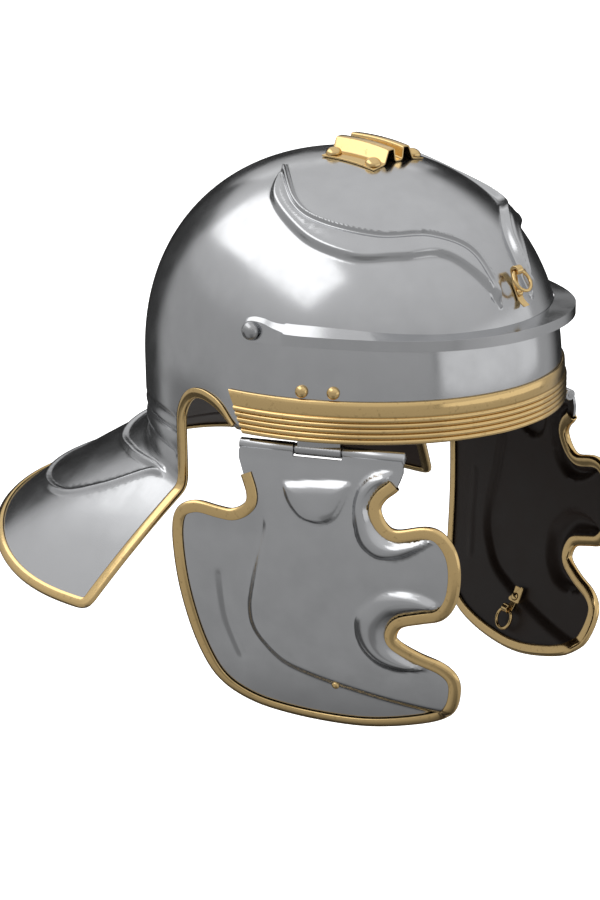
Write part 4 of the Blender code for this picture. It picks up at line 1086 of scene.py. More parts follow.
def band_profile():
    """The brow band's section as (out from the bowl, height): a plain strip over rounded beads."""
    brass = bpy.context.scene.helmet_brass
    face = GAP + BAND_SHEET
    plain = BAND_HEIGHT * (1 - BAND_PLAIN_SHARE)
    ease = 0.0004
    swell = 0.0002
    profile = [(GAP, BAND_HEIGHT), (face - ease, BAND_HEIGHT), (face, BAND_HEIGHT - ease),
               (face + swell, share(0.5, plain, BAND_HEIGHT)), (face + swell / 2, plain + ease * 2)]
    pitch = plain / brass.bead_count
    for bead in range(brass.bead_count):
        middle = plain - (bead + 0.5) * pitch
        for turn in spaced(-80, 80, 8):
            angle = math.radians(turn)
            profile.append((face - swell + (brass.bead_rise + swell) * math.cos(angle),
                            middle - pitch * 0.5 * math.sin(angle)))
    profile.append((face, 0))
    profile.append((-SHEET, 0))
    lip = EAR_HEIGHT * ARCH[0][1] - GAP
    profile.append((-SHEET, lip))
    profile.append((GAP, lip))
    return profile


class HELMET_OT_brow_band(Operator):
    """Make the beaded brass band round the front of the rim"""
    bl_idname = "helmet.brow_band"
    bl_label = "Brow band"

    def execute(self, context):
        profile = band_profile()
        sections = []
        for angle in spaced(-BAND_END, BAND_END, 180):
            slant = BAND_SLANT * angle / BAND_END * smooth_step((abs(angle) / BAND_END - 0.9) / 0.1)
            sections.append([wall_point(angle + slant * height / BAND_HEIGHT, height, out)
                             for out, height in profile])
        piece("beaded_band", mesh_from(sweep(sections), "beaded_band", 50), "brow_band", "helmet", "brass",
              finish("buffed_brass"))
        return {"FINISHED"}


# Brow guard

def brow_section(place):
    """A section of the brow guard: top, ridge, lip and the way back under the shelf."""
    reach, inner_lift, lip, lift = (read_smooth(BROW_SECTIONS, abs(place), column) for column in (1, 2, 3, 4))
    angle = place * BROW_RIVET_ANGLE
    ridge = BROW_LEVEL + lift * BROW_LIP * 0.9
    low = ridge - lip * BROW_LIP
    inner = ridge + inner_lift * BROW_LIP
    out = GAP + BROW_REACH * reach
    level = level_out(angle)
    crest = wall_point(angle, ridge, out)
    foot = wall_point(angle, low, GAP + BROW_SHEET)
    hang = crest - Vector((0, 0, ridge - low))
    if (hang - foot).dot(level) < 0:
        hang = foot
    under = hang - level * BROW_SHEET
    tuck = crest - Vector((0, 0, BROW_SHEET)) - level * BROW_SHEET
    root = wall_point(angle, ridge - BROW_SHEET, GAP)
    if (tuck - root).dot(level) < 0.0001:
        tuck = root + level * 0.0001
    top = wall_point(angle, inner, GAP)
    heel = wall_point(angle, inner - BROW_SHEET, GAP)
    if inner_lift <= 0.1:
        root = heel
        heel = share(0.5, heel, top)
    return (top, crest, hang, under, tuck, root, heel)


class HELMET_OT_brow_guard(Operator):
    """Make the steel shelf across the forehead with its lip and its riveted tabs"""
    bl_idname = "helmet.brow_guard"
    bl_label = "Brow guard"

    def execute(self, context):
        half = spaced(0, 0.86, 70)[:-1] + spaced(0.86, 1.042, 34)
        places = [-place for place in reversed(half[1:])] + half
        mesh = mesh_from(sweep([brow_section(place) for place in places]), "forehead_guard", 28)
        made = piece("forehead_guard", mesh, "brow_guard", "helmet", "steel", finish("buffed_steel"))
        soften(made, 0.00035, 3, 24)
        return {"FINISHED"}


# Crest holder

def crest_face(x, y, rise=0.0):
    """A place on the crest holder's outer face, or at a rise over its flanges."""
    return Vector((x, y, crown_height(x, y) + GAP + CREST_SHEET + rise))


def rounded(corners, radius, steps):
    """A flat line with its corners rounded off."""
    line = [corners[0]]
    for before, corner, after in zip(corners, corners[1:], corners[2:]):
        a = corner + (before - corner).normalized() * min(radius, (before - corner).length * 0.45)
        b = corner + (after - corner).normalized() * min(radius, (after - corner).length * 0.45)
        for t in spaced(0, 1, steps):
            line.append(a * (1 - t) * (1 - t) + corner * 2 * t * (1 - t) + b * t * t)
    line.append(corners[-1])
    return line


class HELMET_OT_crest_holder(Operator):
    """Make the brass crest holder: one sheet with two folded-up humps and a slot between them"""
    bl_idname = "helmet.crest_holder"
    bl_label = "Crest holder"

    def execute(self, context):
        half = ((0.0024, 0), (0.0035, CREST_HEIGHT), (0.0086, CREST_HEIGHT), (0.0119, 0),
                (CREST_HALF_WIDTH, 0))
        corners = [Vector((-x, rise)) for x, rise in reversed(half)] + [Vector(point) for point in half]
        line = rounded(corners, 0.0011, 4)
        rows = 26

        def place(column, row):
            x, rise = line[column]
            return crest_face(x, share(row / rows, CREST_FRONT, CREST_BACK), rise)

        bm = grid_of(len(line) - 1, rows, place)
        face_up(bm, Vector((0, 0, 1)))
        made = piece("crest_holder", mesh_from(bm, "crest_holder", 60), "crest_box", "helmet", "brass",
                     finish("buffed_brass"))
        thicken(made, CREST_SHEET, 0)
        soften(made, FILED_EDGE, 2, 60)
        return {"FINISHED"}


# Straps with a ring

def strap(width, back, reach, base, lift, tail, matrix):
    """A strap along Y over a face at Z = base, curled at its end round a ring, its tail bent out."""
    inner = RING_WIRE + RING_PLAY
    outer = inner + STRAP_SHEET
    lower = [Vector((-back, base + tail)), Vector((-back * 0.72, base + tail * 0.4)),
             Vector((-back * 0.45, base)), Vector((0, base)), Vector((reach * 0.45, base))]
    upper = [Vector((y, z + STRAP_SHEET)) for y, z in lower]
    turns = [math.radians(turn) for turn in spaced(-90, 180, 22)]
    around = [Vector((reach + outer * math.cos(turn), lift + outer * math.sin(turn))) for turn in turns]
    within = [Vector((reach + inner * math.cos(turn), lift + inner * math.sin(turn))) for turn in turns]
    outline = lower + around + list(reversed(within)) + list(reversed(upper))
    sections = []
    for x in spaced(-width / 2, width / 2, 2):
        sections.append([matrix @ Vector((x, y, z)) for y, z in outline])
    return sweep(sections)


def wire_ring(centre, axis):
    """A plain wire ring."""
    bm = bmesh.new()
    verts = bmesh.ops.create_circle(bm, segments=14, radius=RING_WIRE)["verts"]
    bmesh.ops.rotate(bm, verts=verts, cent=(0, 0, 0), matrix=Matrix.Rotation(math.pi / 2, 3, "X"))
    bmesh.ops.translate(bm, verts=verts, vec=(RING_RADIUS, 0, 0))
    return spun(bm, bm.verts[:] + bm.edges[:], 64, frame_along(centre, axis))


def hook_matrix():
    """On the bowl's outer face at the forehead: Y up along the face, Z out of it."""
    up = (wall_point(0, HOOK_LEVEL + 0.004) - wall_point(0, HOOK_LEVEL - 0.004)).normalized()
    out = Vector((-1, 0, 0)).cross(up).normalized()
    if out.y > 0:
        out = -out
    matrix = Matrix((up.cross(out), up, out)).transposed().to_4x4()
    matrix.translation = wall_point(0, HOOK_LEVEL) + Vector((HOOK_ASIDE, 0, 0))
    return matrix


class HELMET_OT_front_hook(Operator):
    """Make the brass strap on the forehead and the ring that hangs in it"""
    bl_idname = "helmet.front_hook"
    bl_label = "Front hook"

    def execute(self, context):
        matrix = hook_matrix()
        bm = strap(HOOK_WIDTH, HOOK_BACK, HOOK_REACH, HOOK_BASE, HOOK_LIFT, HOOK_TAIL, matrix)
        made = piece("hook_strap", mesh_from(bm, "hook_strap"), "front_hook", "helmet", "brass",
                     finish("buffed_brass"))
        soften(made, FILED_EDGE)
        hang = Vector((0, -math.cos(HOOK_RING_HANG), math.sin(HOOK_RING_HANG)))
        centre = matrix @ (Vector((0, HOOK_REACH, HOOK_LIFT)) + hang * RING_RADIUS)
        ring = wire_ring(centre, matrix.to_3x3() @ hang.cross(Vector((1, 0, 0))))
        piece("hook_loop", mesh_from(ring, "hook_loop"), "hook_ring", "helmet", "brass",
              finish("buffed_brass"))
        return {"FINISHED"}


# Cheek pieces, in a frame on the hinge line: along it to the front, down, and out from the face

def hinge_frame():
    """The right cheek piece's directions: forwards along the hinge line, down, and out."""
    along = (HINGE_FRONT - HINGE_BACK).normalized()
    down = Vector((0, 0, -1))
    out = down.cross(along)
    return along, down, -out if out.x > 0 else out


def cheek_place(u, v, w):
    """A place so far forwards, down and out from the back end of the right hinge line."""
    along, down, out = hinge_frame()
    return HINGE_BACK + along * u + down * v + out * w


def cheek_outline():
    """The smooth edge of the cheek piece, from the back end of the hinge round to its front end."""
    points = [Vector((u * CHEEK_WIDTH, v * CHEEK_DEPTH, 0)) for u, v in CHEEK_OUTLINE]
    return curve_through(points, OUTLINE_STEPS)


def flat_curve(points, steps):
    """A smooth line through flat points."""
    return curve_through([Vector((*point, 0)) for point in points], steps)


class CheekSurface:
    """The outer face of the right cheek piece, with its reliefs."""

    def __init__(self):
        step = flat_curve([(u * CHEEK_WIDTH, v * CHEEK_DEPTH) for u, v in CHEEK_STEP_LINE], 10)
        self.step = ruler(step)
        self.middle = [(point.x, point.y) for point in step[::3]]
        self.middle += [(CHEEK_WIDTH, 0.87 * CHEEK_DEPTH), (CHEEK_WIDTH, 0), (step[0].x, 0)]
        outline = cheek_outline()
        self.edge = ruler(outline)
        boss = flat_curve(CHEEK_BOSS + CHEEK_BOSS[:1], RELIEF_STEPS)
        self.boss = ruler(boss)
        self.boss_area = [(point.x, point.y) for point in boss]
        self.crescents = []
        # Each crescent lies between its inner line and some rows of the cheek piece's outline.
        for line, first, last in ((UPPER_CRESCENT, 32, 39), (LOWER_CRESCENT, 21, 28)):
            inner = flat_curve(line, RELIEF_STEPS)
            edge = outline[first * OUTLINE_STEPS:last * OUTLINE_STEPS + 1]
            self.crescents.append((ruler(inner), [(point.x, point.y) for point in inner + edge]))
        self.crease = ruler(flat_curve(CHEEK_CREASE, RELIEF_STEPS))

    def relief(self, u, v):
        """How far the sheet stands out over its even bulge."""
        sizes = bpy.context.scene.helmet_relief
        point = Vector((u, v, 0))
        high = 0.0
        if not inside(u, v, self.middle):
            fall = smooth_step(self.step(point) / STEP_SLOPE)
            # The step starts a sixth of the way down and is full at a third.
            high -= CHEEK_STEP * fall * smooth_step((v / CHEEK_DEPTH - 0.16) / 0.15)
        if inside(u, v, self.boss_area):
            from_edge = self.boss(point)
            rise = min(from_edge / BOSS_SHOULDER, 1.0)
            high += sizes.boss_rise * math.sqrt(1 - (1 - rise) ** 2) * smooth_step(from_edge / BOSS_FOOT)
        free = max(0.0, self.edge(point) - bpy.context.scene.helmet_brass.flange - 0.0004)
        for measure, area in self.crescents:
            if inside(u, v, area):
                from_line = measure(point)
                across = from_line / max(from_line + free, 1e-6)
                tip = smooth_step((from_line + free) / CRESCENT_TIP)
                high += sizes.crescent_rise * math.sin(math.pi * across) ** 0.8 * tip
        return high - CREASE_DEPTH * bump(self.crease(point), CREASE_WIDTH)

    def height(self, u, v):
        """How far the outer face stands out from the hinge line."""
        t = v / CHEEK_DEPTH
        even = CHEEK_BULGE * 4 * t * (1 - t) - CHEEK_LEAN * t
        roll = KNUCKLE_RADIUS * 0.17 * (1 - smooth_step(v / 0.006))
        return KNUCKLE_RADIUS * 0.78 + roll + even + self.relief(u, v)

    def point(self, u, v):
        """A point of the outer face."""
        return cheek_place(u, v, self.height(u, v))

    def normal(self, u, v):
        """The outer face's direction outwards."""
        ahead = self.point(u + 0.0008, v) - self.point(u - 0.0008, v)
        down = self.point(u, v + 0.0008) - self.point(u, v - 0.0008)
        normal = ahead.cross(down).normalized()
        return normal if normal.dot(hinge_frame()[2]) > 0 else -normal


def knuckle(low_u, high_u, radius):
    """A round hinge barrel along the hinge line, its ends eased by a file."""
    length = high_u - low_u
    ease = radius * 0.12
    profile = ((0, 0), (radius - ease, 0), (radius, ease),
               (radius, length - ease), (radius - ease, length), (0, length))
    return turned(profile, 36, frame_along(cheek_place(low_u, 0, 0), hinge_frame()[0]))


def knuckle_ends():
    """Where the cheek piece's back barrel ends and its front barrel starts, and the hinge's length."""
    length = (HINGE_FRONT - HINGE_BACK).length
    return share(KNUCKLE_SPLITS[0], 0, length), share(KNUCKLE_SPLITS[1], 0, length), length


def cheek_sheet(surface):
    """The cheek piece's outer face: a grid trimmed to its outline, the edge drawn onto the line."""
    first, second, length = knuckle_ends()
    shoulder = KNUCKLE_RADIUS + GAP * 0.5
    lap = KNUCKLE_RADIUS * 0.3
    line = cheek_outline()
    outline = [(point.x, point.y) for point in line]
    outline += [
        (length - GAP, line[-1].y * 0.75), (length - GAP, lap), (second + GAP, lap),
        (second + GAP, shoulder), (first - GAP, shoulder), (first - GAP, lap),
        (GAP, lap), (GAP, line[0].y * 0.8),
    ]
    columns = 128
    rows = 126

    def place(column, row):
        # The outline's widest places lie a little within these two shares.
        u = share(column / columns, -0.24 * CHEEK_WIDTH, 0.78 * CHEEK_WIDTH)
        return Vector((u, share(row / rows, 0, CHEEK_DEPTH), 0))

    bm = grid_of(columns, rows, place)
    gone = [vert for vert in bm.verts if not inside(vert.co.x, vert.co.y, outline)]
    bmesh.ops.delete(bm, geom=gone, context="VERTS")
    loose = [vert for vert in bm.verts if not vert.link_faces]
    bmesh.ops.delete(bm, geom=loose, context="VERTS")
    closed = [Vector((u, v, 0)) for u, v in outline + outline[:1]]
    for vert in bm.verts:
        if vert.is_boundary:
            vert.co = nearest_on(vert.co, closed)
    for vert in bm.verts:
        vert.co = surface.point(vert.co.x, vert.co.y)
    bmesh.ops.remove_doubles(bm, verts=bm.verts, dist=1e-5)
    face_up(bm, hinge_frame()[2])
    return bm


class HELMET_OT_cheek_plates(Operator):
    """Make the two steel cheek pieces with their embossing and their hinge barrels"""
    bl_idname = "helmet.cheek_plates"
    bl_label = "Cheek pieces"

    def execute(self, context):
        first, second, length = knuckle_ends()
        sheet = mesh_from(cheek_sheet(CheekSurface()), "cheek_sheet_right", 60)
        barrels = knuckle(GAP, first - GAP, KNUCKLE_RADIUS)
        join(barrels, knuckle(second + GAP, length - GAP, KNUCKLE_RADIUS))
        solid = bmesh.new()
        sheet.materials.append(finish("buffed_steel"))
        sheet.materials.append(finish("browned_steel"))
        wall = bpy.data.objects.new("cheek_wall", sheet)
        context.scene.collection.objects.link(wall)
        thicken(wall, SHEET, 1)
        context.view_layer.update()
        solid.from_object(wall, context.evaluated_depsgraph_get())
        bpy.data.objects.remove(wall)
        join(solid, barrels)
        mesh = mesh_from(solid, "embossed_cheek_right", 50)
        both_sides("embossed_cheek", mesh, "cheek_plate", None, "steel",
                   finish("buffed_steel"), finish("browned_steel"))
        return {"FINISHED"}


class HELMET_OT_cheek_trims(Operator):
    """Make the brass channels over the edges of the cheek pieces"""
    bl_idname = "helmet.cheek_trims"
    bl_label = "Cheek trims"

    def execute(self, context):
        surface = CheekSurface()
        edge = cheek_outline()[OUTLINE_STEPS:-OUTLINE_STEPS]
        flange = context.scene.helmet_brass.flange
        points = []
        outward = []
        for point in edge:
            points.append(surface.point(point.x, point.y))
            outward.append(surface.normal(point.x, point.y))
        points = eased(points, 1)
        inward, normals = edge_frames(points, eased(outward, 3))
        middle = sum(points, Vector()) / len(points)
        if sum(into.dot(middle - point) for into, point in zip(inward, points)) < 0:
            inward = [-into for into in inward]
        inward = eased(inward, 1)
        profile = channel_profile(flange, CHEEK_TRIM_GAP, CHEEK_TRIM_CROWN)
        sections = [channel_section(point, into, normal, profile)
                    for point, into, normal in zip(points, inward, normals)]
        mesh = mesh_from(sweep(sections), "cheek_edging_right", 50)
        both_sides("cheek_edging", mesh, "cheek_trim", None, "brass", finish("buffed_brass"))
        return {"FINISHED"}


# Hinge leaves and pins

def bowl_angle(point):
    """The angle of a place in the bowl's oval, from the front."""
    return math.atan2(abs(point.x) / BOWL_WIDTH, -point.y / BOWL_LENGTH)


def leaf_plate():
    """The plate of the hinge's upper half, on the bowl's inner face."""
    first, second, _ = knuckle_ends()
    play = math.radians(0.8)
    start = bowl_angle(cheek_place(second, 0, 0)) + play
    end = bowl_angle(cheek_place(first, 0, 0)) - play
    outer = -SHEET - GAP
    inner = outer - LEAF_SHEET
    foot = HINGE_BACK.z + KNUCKLE_RADIUS * 0.35
    sections = []
    for angle in spaced(start, end, 12):
        level = level_out(-angle)
        low = wall_point(-angle, foot)
        sections.append((
            low + level * outer, wall_point(-angle, LEAF_BEND, outer), wall_point(-angle, LEAF_TOP, outer),
            wall_point(-angle, LEAF_TOP, inner), wall_point(-angle, LEAF_BEND, inner), low + level * inner,
        ))
    return sweep(sections)


class HELMET_OT_hinges(Operator):
    """Make the bowl's halves of the hinges and the pins through them"""
    bl_idname = "helmet.hinges"
    bl_label = "Hinges"

    def execute(self, context):
        first, second, length = knuckle_ends()
        bm = leaf_plate()
        join(bm, knuckle(first + GAP, second - GAP, KNUCKLE_RADIUS))
        leaf = mesh_from(bm, "hinge_plate_right")
        pin = mesh_from(knuckle(0, length, PIN_RADIUS), "hinge_rod_right")
        for name, mesh, node in (("hinge_plate", leaf, "hinge_leaf"), ("hinge_rod", pin, "hinge_pin")):
            for made in both_sides(name, mesh, node, "helmet", "steel", finish("worn_steel")):
                soften(made, FILED_EDGE)
        return {"FINISHED"}


# Ties inside the cheek pieces

def tie_seat():
    """Where the tie's strap lies on the right cheek piece, found on the frame's own plate."""
    u, v = TIE_PLACE
    out = hinge_frame()[2]
    bm = bmesh.new()
    bm.from_mesh(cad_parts["cheek_plate_right"].data)
    tree = BVHTree.FromBMesh(bm)
    bm.free()

    def outside(at_u, at_v):
        return tree.ray_cast(cheek_place(at_u, at_v, 0.1), -out)[0]

    def within(at_u, at_v):
        return tree.ray_cast(cheek_place(at_u, at_v, -0.1), out)[0]

    ahead = outside(u + 0.004, v) - outside(u - 0.004, v)
    down = outside(u, v + 0.005) - outside(u, v - 0.005)
    face = ahead.cross(down).normalized()
    if face.dot(out) < 0:
        face = -face
    down = (down - face * down.dot(face)).normalized()
    matrix = Matrix((down.cross(-face), down, -face)).transposed().to_4x4()
    step = 0.0025
    matrix.translation = (within(u + step, v) + within(u - step, v)) / 2
    inverse = matrix.inverted()
    # The plate is felt at spots all under the strap, so that the strap lies clear of its highest place.
    spots = [(i * step, j * step) for i in range(-2, 3) for j in range(-3, 5) if (i, j) != (0, 0)]
    highest = max((inverse @ within(u + across, v + along)).z for across, along in spots)
    near = [(across, along) for across, along in spots if max(abs(across), abs(along)) < 0.003]
    lowest = min((inverse @ outside(u + across, v + along)).z for across, along in near)
    return matrix, face, highest, lowest


class HELMET_OT_ties(Operator):
    """Make the brass straps, rings and rivets inside the cheek pieces"""
    bl_idname = "helmet.ties"
    bl_label = "Ties"

    def execute(self, context):
        matrix, face, highest, lowest = tie_seat()
        base = highest + GAP * 1.2
        lift = base + STRAP_SHEET * 2 + RING_WIRE + RING_PLAY
        bm = strap(HOOK_WIDTH, TIE_BACK * 0.9, TIE_REACH, base, lift, 0.0, matrix)
        across = TIE_WIDTH / 2
        ahead = TIE_BACK * 0.5
        corners = [Vector((-across, -TIE_BACK)), Vector((across, -TIE_BACK)),
                   Vector((across, ahead)), Vector((-across, ahead)), Vector((-across, -TIE_BACK))]
        line = rounded(corners, 0.0016, 4)[1:-1]
        top = base + STRAP_SHEET * 1.15
        tab = [[matrix @ Vector((x, y, z)) for x, y in line] for z in (base - 0.00005, top)]
        join(bm, sweep(tab))
        ring = wire_ring(matrix @ Vector((0, TIE_REACH + RING_RADIUS, lift)), -face)
        seat = frame_along(matrix @ Vector((0, 0, lowest)), face)
        rivet = dome_rivet(context.scene.helmet_brass.strap_rivet, top - lowest, seat)
        shapes = (("tie_strap", mesh_from(bm, "tie_strap_right"), "tie_plate"),
                  ("tie_loop", mesh_from(ring, "tie_loop_right"), "tie_ring"),
                  ("tie_dome", mesh_from(rivet, "tie_dome_right"), "tie_rivet"))
        for name, mesh, node in shapes:
            for made in both_sides(name, mesh, node, None, "brass", finish("buffed_brass")):
                if name == "tie_strap":
                    soften(made, FILED_EDGE)
        return {"FINISHED"}


# Rivets

def dome_rivet(radius, stack, matrix):
    """A dome head on the outside, a shank through the stack, and a small hammered head inside.

    The matrix has its origin on the outermost face and its Z outwards.
    """
    tail = SHANK_RADIUS * 1.7
    profile = [(0, -stack - GAP - RIVET_TAIL)]
    for turn in spaced(-70, 0, 4):
        angle = math.radians(turn)
        profile.append((tail * math.cos(angle), -stack - GAP + RIVET_TAIL * math.sin(angle)))
    profile += [(SHANK_RADIUS, -stack - GAP), (SHANK_RADIUS, GAP * 0.5), (radius * 0.97, GAP * 0.5)]
    for turn in spaced(0, 90, 10):
        angle = math.radians(turn)
        profile.append((radius * math.cos(angle), GAP + 0.0002 + (radius * 0.76 - 0.0002) * math.sin(angle)))
    return turned(profile, 36, matrix)


def hinge_rivet_matrices(side):
    """Where the two hinge rivets of a side sit on the wall, upright on its face."""
    matrices = []
    for turn, height in HINGE_RIVETS:
        angle = side * math.radians(turn)
        step = math.radians(2)
        across = wall_point(angle + step, height) - wall_point(angle - step, height)
        up = wall_point(angle, height + 0.003) - wall_point(angle, height - 0.003)
        normal = across.cross(up).normalized()
        point = wall_point(angle, height)
        if normal.dot(Vector((point.x, point.y, 0))) < 0:
            normal = -normal
        matrices.append(frame_along(point, normal))
    return matrices


class HELMET_OT_rivets(Operator):
    """Make the rivets of the brow guard, the crest holder, the hinges and the front hook"""
    bl_idname = "helmet.rivets"
    bl_label = "Rivets"

    def execute(self, context):
        brass = context.scene.helmet_brass
        rivets = []
        for side, name in ((-1, "right"), (1, "left")):
            angle = side * BROW_RIVET_ANGLE
            seat = frame_along(wall_point(angle, BROW_LEVEL, BROW_SEAT), level_out(angle))
            rivets.append(("brow_rivet_" + name, "steel", brass.brow_rivet, BROW_SEAT + SHEET + 0.0008, seat))
            for place, matrix in zip(("front", "back"), hinge_rivet_matrices(side)):
                rivets.append(("hinge_rivet_%s_%s" % (place, name), "brass", brass.hinge_rivet,
                               SHEET + GAP + LEAF_SHEET, matrix))
        number = 1
        for y in CREST_RIVET_ROWS:
            for x in (-CREST_RIVET_SIDE, CREST_RIVET_SIDE):
                seat = frame_along(crest_face(x, y), crown_normal(x, y), Vector((0, 1, 0)))
                rivets.append(("crest_rivet_%d" % number, "brass", brass.crest_rivet,
                               CREST_SHEET + GAP * 2 + SHEET, seat))
                number += 1
        seat = hook_matrix()
        base = HOOK_BASE + STRAP_SHEET
        seat.translation = seat @ Vector((0, 0, base))
        rivets.append(("hook_rivet", "brass", brass.strap_rivet, base + SHEET + GAP, seat))
        for node, slot, radius, stack, matrix in rivets:
            name = node.replace("rivet", "dome")
            colour = finish("worn_steel") if slot == "steel" else finish("buffed_brass")
            piece(name, mesh_from(dome_rivet(radius, stack, matrix), name, 50), node, "helmet", slot, colour)
        return {"FINISHED"}


# Stage

def fade(tree, value, start, end, depth=1.0):
    """A smooth fade from 0 at the value's start to the depth at its end."""
    return add_node(tree, "ShaderNodeMapRange", {
        "interpolation_type": "SMOOTHSTEP", "From Min": start, "From Max": end, "To Max": depth,
    }, Value=value).outputs[0]


def sky(world):
    """A studio's even surround: pale overhead, greyer low down, dark behind the wearer's left."""
    world.use_nodes = True
    tree = world.node_tree
    tree.nodes.clear()
    place = tree.nodes.new("ShaderNodeTexCoord").outputs["Generated"]
    parts = add_node(tree, "ShaderNodeSeparateXYZ", {}, Vector=place)
    high = add_node(tree, "ShaderNodeMapRange", {"From Min": -1.0, "From Max": 1.0}, Value=parts.outputs[2])
    ramp = add_node(tree, "ShaderNodeValToRGB", {}, Fac=high.outputs[0])
    for index, (where, bright) in enumerate(SKY_STOPS):
        stop = ramp.color_ramp.elements[index] if index < 2 else ramp.color_ramp.elements.new(where)
        stop.position = where
        stop.color = (bright, bright, bright, 1)
    side = add_node(tree, "ShaderNodeVectorMath", {
        "operation": "DOT_PRODUCT", 1: (0.82, 0.57, -0.05),
    }, i0=place)
    dark = fade(tree, side.outputs["Value"], 0.66, 0.92, 0.95)
    low = fade(tree, parts.outputs[2], 0.62, 0.38)
    level = add_node(tree, "ShaderNodeVectorMath", {"operation": "MULTIPLY", 1: (1, 1, 0)}, i0=place)
    around = add_node(tree, "ShaderNodeVectorMath", {"operation": "NORMALIZE"}, i0=level.outputs[0])
    darkest = combine(tree, "MULTIPLY", dark, low)
    for turn, wide, narrow, top, under, depth in SKY_PATCHES:
        turn = math.radians(turn)
        facing = add_node(tree, "ShaderNodeVectorMath", {
            "operation": "DOT_PRODUCT", 1: (math.sin(turn), -math.cos(turn), 0),
        }, i0=around.outputs[0])
        across = fade(tree, facing.outputs["Value"], wide, narrow)
        below = fade(tree, parts.outputs[2], top, under, depth)
        patch = combine(tree, "MULTIPLY", across, below)
        darkest = combine(tree, "MAXIMUM", darkest, patch)
    lit = add_node(tree, "ShaderNodeMath", {"operation": "SUBTRACT", 0: 1.0}, i1=darkest)
    surround = add_node(tree, "ShaderNodeBackground", {}, Color=ramp.outputs[0], Strength=lit.outputs[0])
    paper = add_node(tree, "ShaderNodeBackground", {"Color": (1, 1, 1, 1), "Strength": 1.0})
    path = tree.nodes.new("ShaderNodeLightPath")
    mix = add_node(tree, "ShaderNodeMixShader", {}, i0=path.outputs["Is Camera Ray"],
                   i1=surround.outputs[0], i2=paper.outputs[0])
    add_node(tree, "ShaderNodeOutputWorld", {}, Surface=mix.outputs[0])


def toward(turn, rise, distance):
    """A place seen from the helmet at a turn from the front towards the wearer's left, and a rise."""
    turn = math.radians(turn)
    rise = math.radians(rise)
    level = math.cos(rise)
    return Vector((math.sin(turn) * level, -math.cos(turn) * level, math.sin(rise))) * distance


def soft_light(name, turn, rise, distance, width, height, power):
    """A large soft light that faces the helmet."""
    light = bpy.data.lights.new(name, "AREA")
    light.shape = "RECTANGLE"
    light.size = width
    light.size_y = height
    light.energy = power
    made = bpy.data.objects.new(name, light)
    made.matrix_world = frame_along(toward(turn, rise, distance), toward(turn, rise, 1.0))
    made.visible_camera = False
    bpy.context.scene.collection.objects.link(made)


def stage_card(name, size, matrix, colour, glow):
    """A flat card of the studio, such as the floor."""
    bm = bmesh.new()
    bmesh.ops.create_grid(bm, x_segments=1, y_segments=1, size=0.5)
    bmesh.ops.scale(bm, vec=(size[0], size[1], 1), verts=bm.verts)
    bmesh.ops.transform(bm, matrix=matrix, verts=bm.verts)
    made = bpy.data.objects.new(name, mesh_from(bm, name))
    card, tree, shader, place = new_finish(name + "_paper")
    grain = add_node(tree, "ShaderNodeTexNoise", {"Scale": 300.0}, Vector=place)
    rough = add_node(tree, "ShaderNodeMapRange", {"To Min": 0.8, "To Max": 0.9}, Value=grain.outputs[0])
    tree.links.new(rough.outputs[0], shader.inputs["Roughness"])
    shader.inputs["Base Color"].default_value = (*colour, 1)
    shader.inputs["Emission Color"].default_value = (*colour, 1)
    shader.inputs["Emission Strength"].default_value = glow
    made.data.materials.append(card)
    bpy.context.scene.collection.objects.link(made)
    return made


class HELMET_OT_stage(Operator):
    """Set up the pale floor, the soft lights and the camera"""
    bl_idname = "helmet.stage"
    bl_label = "Stage"

    def execute(self, context):
        studio = context.scene.helmet_studio
        down = Matrix.Translation((0, 0, -studio.floor_drop))
        floor = stage_card("pale_floor", (40, 40), down, light_from("#FFFFFF"), 1.0)
        floor.visible_glossy = False
        # A narrow dark strip in front of the helmet, seen only in the polished steel.
        strip_place = frame_along(toward(-20, 0, 2.8), toward(-20, 0, -1))
        strip = stage_card("dark_strip", (0.075, 1.3), strip_place, light_from("#050505"), 0.0)
        strip.visible_camera = False
        strip.visible_shadow = False
        for name, power, *place in LIGHTS:
            soft_light(name, *place, getattr(studio, power))
        world = bpy.data.worlds.new("studio")
        sky(world)
        context.scene.world = world
        context.scene.view_settings.view_transform = "Standard"
        camera = bpy.data.objects.new("camera", bpy.data.cameras.new("camera"))
        camera.data.lens = CAMERA_LENS
        camera.data.sensor_width = CAMERA_SENSOR
        camera.data.clip_end = 100
        matrix = Matrix((CAMERA_RIGHT, CAMERA_UP, -Vector(CAMERA_AHEAD))).transposed().to_4x4()
        matrix.translation = CAMERA_PLACE
        camera.matrix_world = matrix
        context.scene.collection.objects.link(camera)
        context.scene.camera = camera
        return {"FINISHED"}


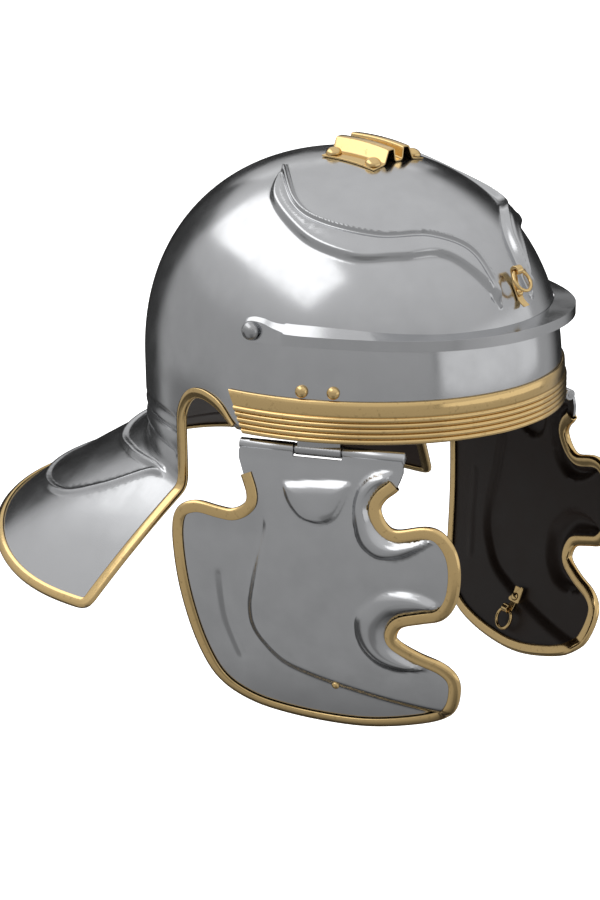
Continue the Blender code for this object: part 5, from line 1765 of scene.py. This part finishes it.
class HELMET_PT_pieces(Panel):
    """The helmet's pieces, and the sizes and colours that may be changed"""
    bl_idname = "HELMET_PT_pieces"
    bl_label = "Legionary Helmet"
    bl_space_type = "VIEW_3D"
    bl_region_type = "UI"
    bl_category = "Helmet"

    def draw(self, context):
        for step in STEPS:
            self.layout.operator(step.bl_idname)
        for title in GROUPS:
            box = self.layout.box()
            group = getattr(context.scene, title)
            for key in group.bl_rna.properties.keys():
                if key not in ("rna_type", "name"):
                    box.prop(group, key)


STEPS = (
    HELMET_OT_stage,
    HELMET_OT_bowl,
    HELMET_OT_edge_trim,
    HELMET_OT_brow_band,
    HELMET_OT_brow_guard,
    HELMET_OT_crest_holder,
    HELMET_OT_front_hook,
    HELMET_OT_hinges,
    HELMET_OT_cheek_plates,
    HELMET_OT_cheek_trims,
    HELMET_OT_ties,
    HELMET_OT_rivets,
)
GROUPS = {
    "helmet_relief": HelmetRelief,
    "helmet_brass": HelmetBrass,
    "helmet_finish": HelmetFinish,
    "helmet_studio": HelmetStudio,
}


def register():
    """Add the helmet's properties, operators and panel."""
    for title, group in GROUPS.items():
        bpy.utils.register_class(group)
        setattr(bpy.types.Scene, title, PointerProperty(type=group))
    for step in STEPS + (HELMET_PT_pieces,):
        bpy.utils.register_class(step)


def unregister():
    """Take them out again."""
    for step in reversed(STEPS + (HELMET_PT_pieces,)):
        bpy.utils.unregister_class(step)
    for title, group in GROUPS.items():
        delattr(bpy.types.Scene, title)
        bpy.utils.unregister_class(group)


def plain(bounds):
    """A box's two corners as plain lists of numbers."""
    return [[float(value) for value in corner] for corner in bounds]


def main():
    """Make the whole helmet and its stage."""
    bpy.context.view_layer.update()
    register()
    bpy.ops.helmet.stage()
    bpy.ops.helmet.bowl()
    bpy.ops.helmet.edge_trim()
    bpy.ops.helmet.brow_band()
    bpy.ops.helmet.brow_guard()
    bpy.ops.helmet.crest_holder()
    bpy.ops.helmet.front_hook()
    bpy.ops.helmet.hinges()
    bpy.ops.helmet.cheek_plates()
    bpy.ops.helmet.cheek_trims()
    bpy.ops.helmet.ties()
    bpy.ops.helmet.rivets()


if __name__ == "__main__":
    main()
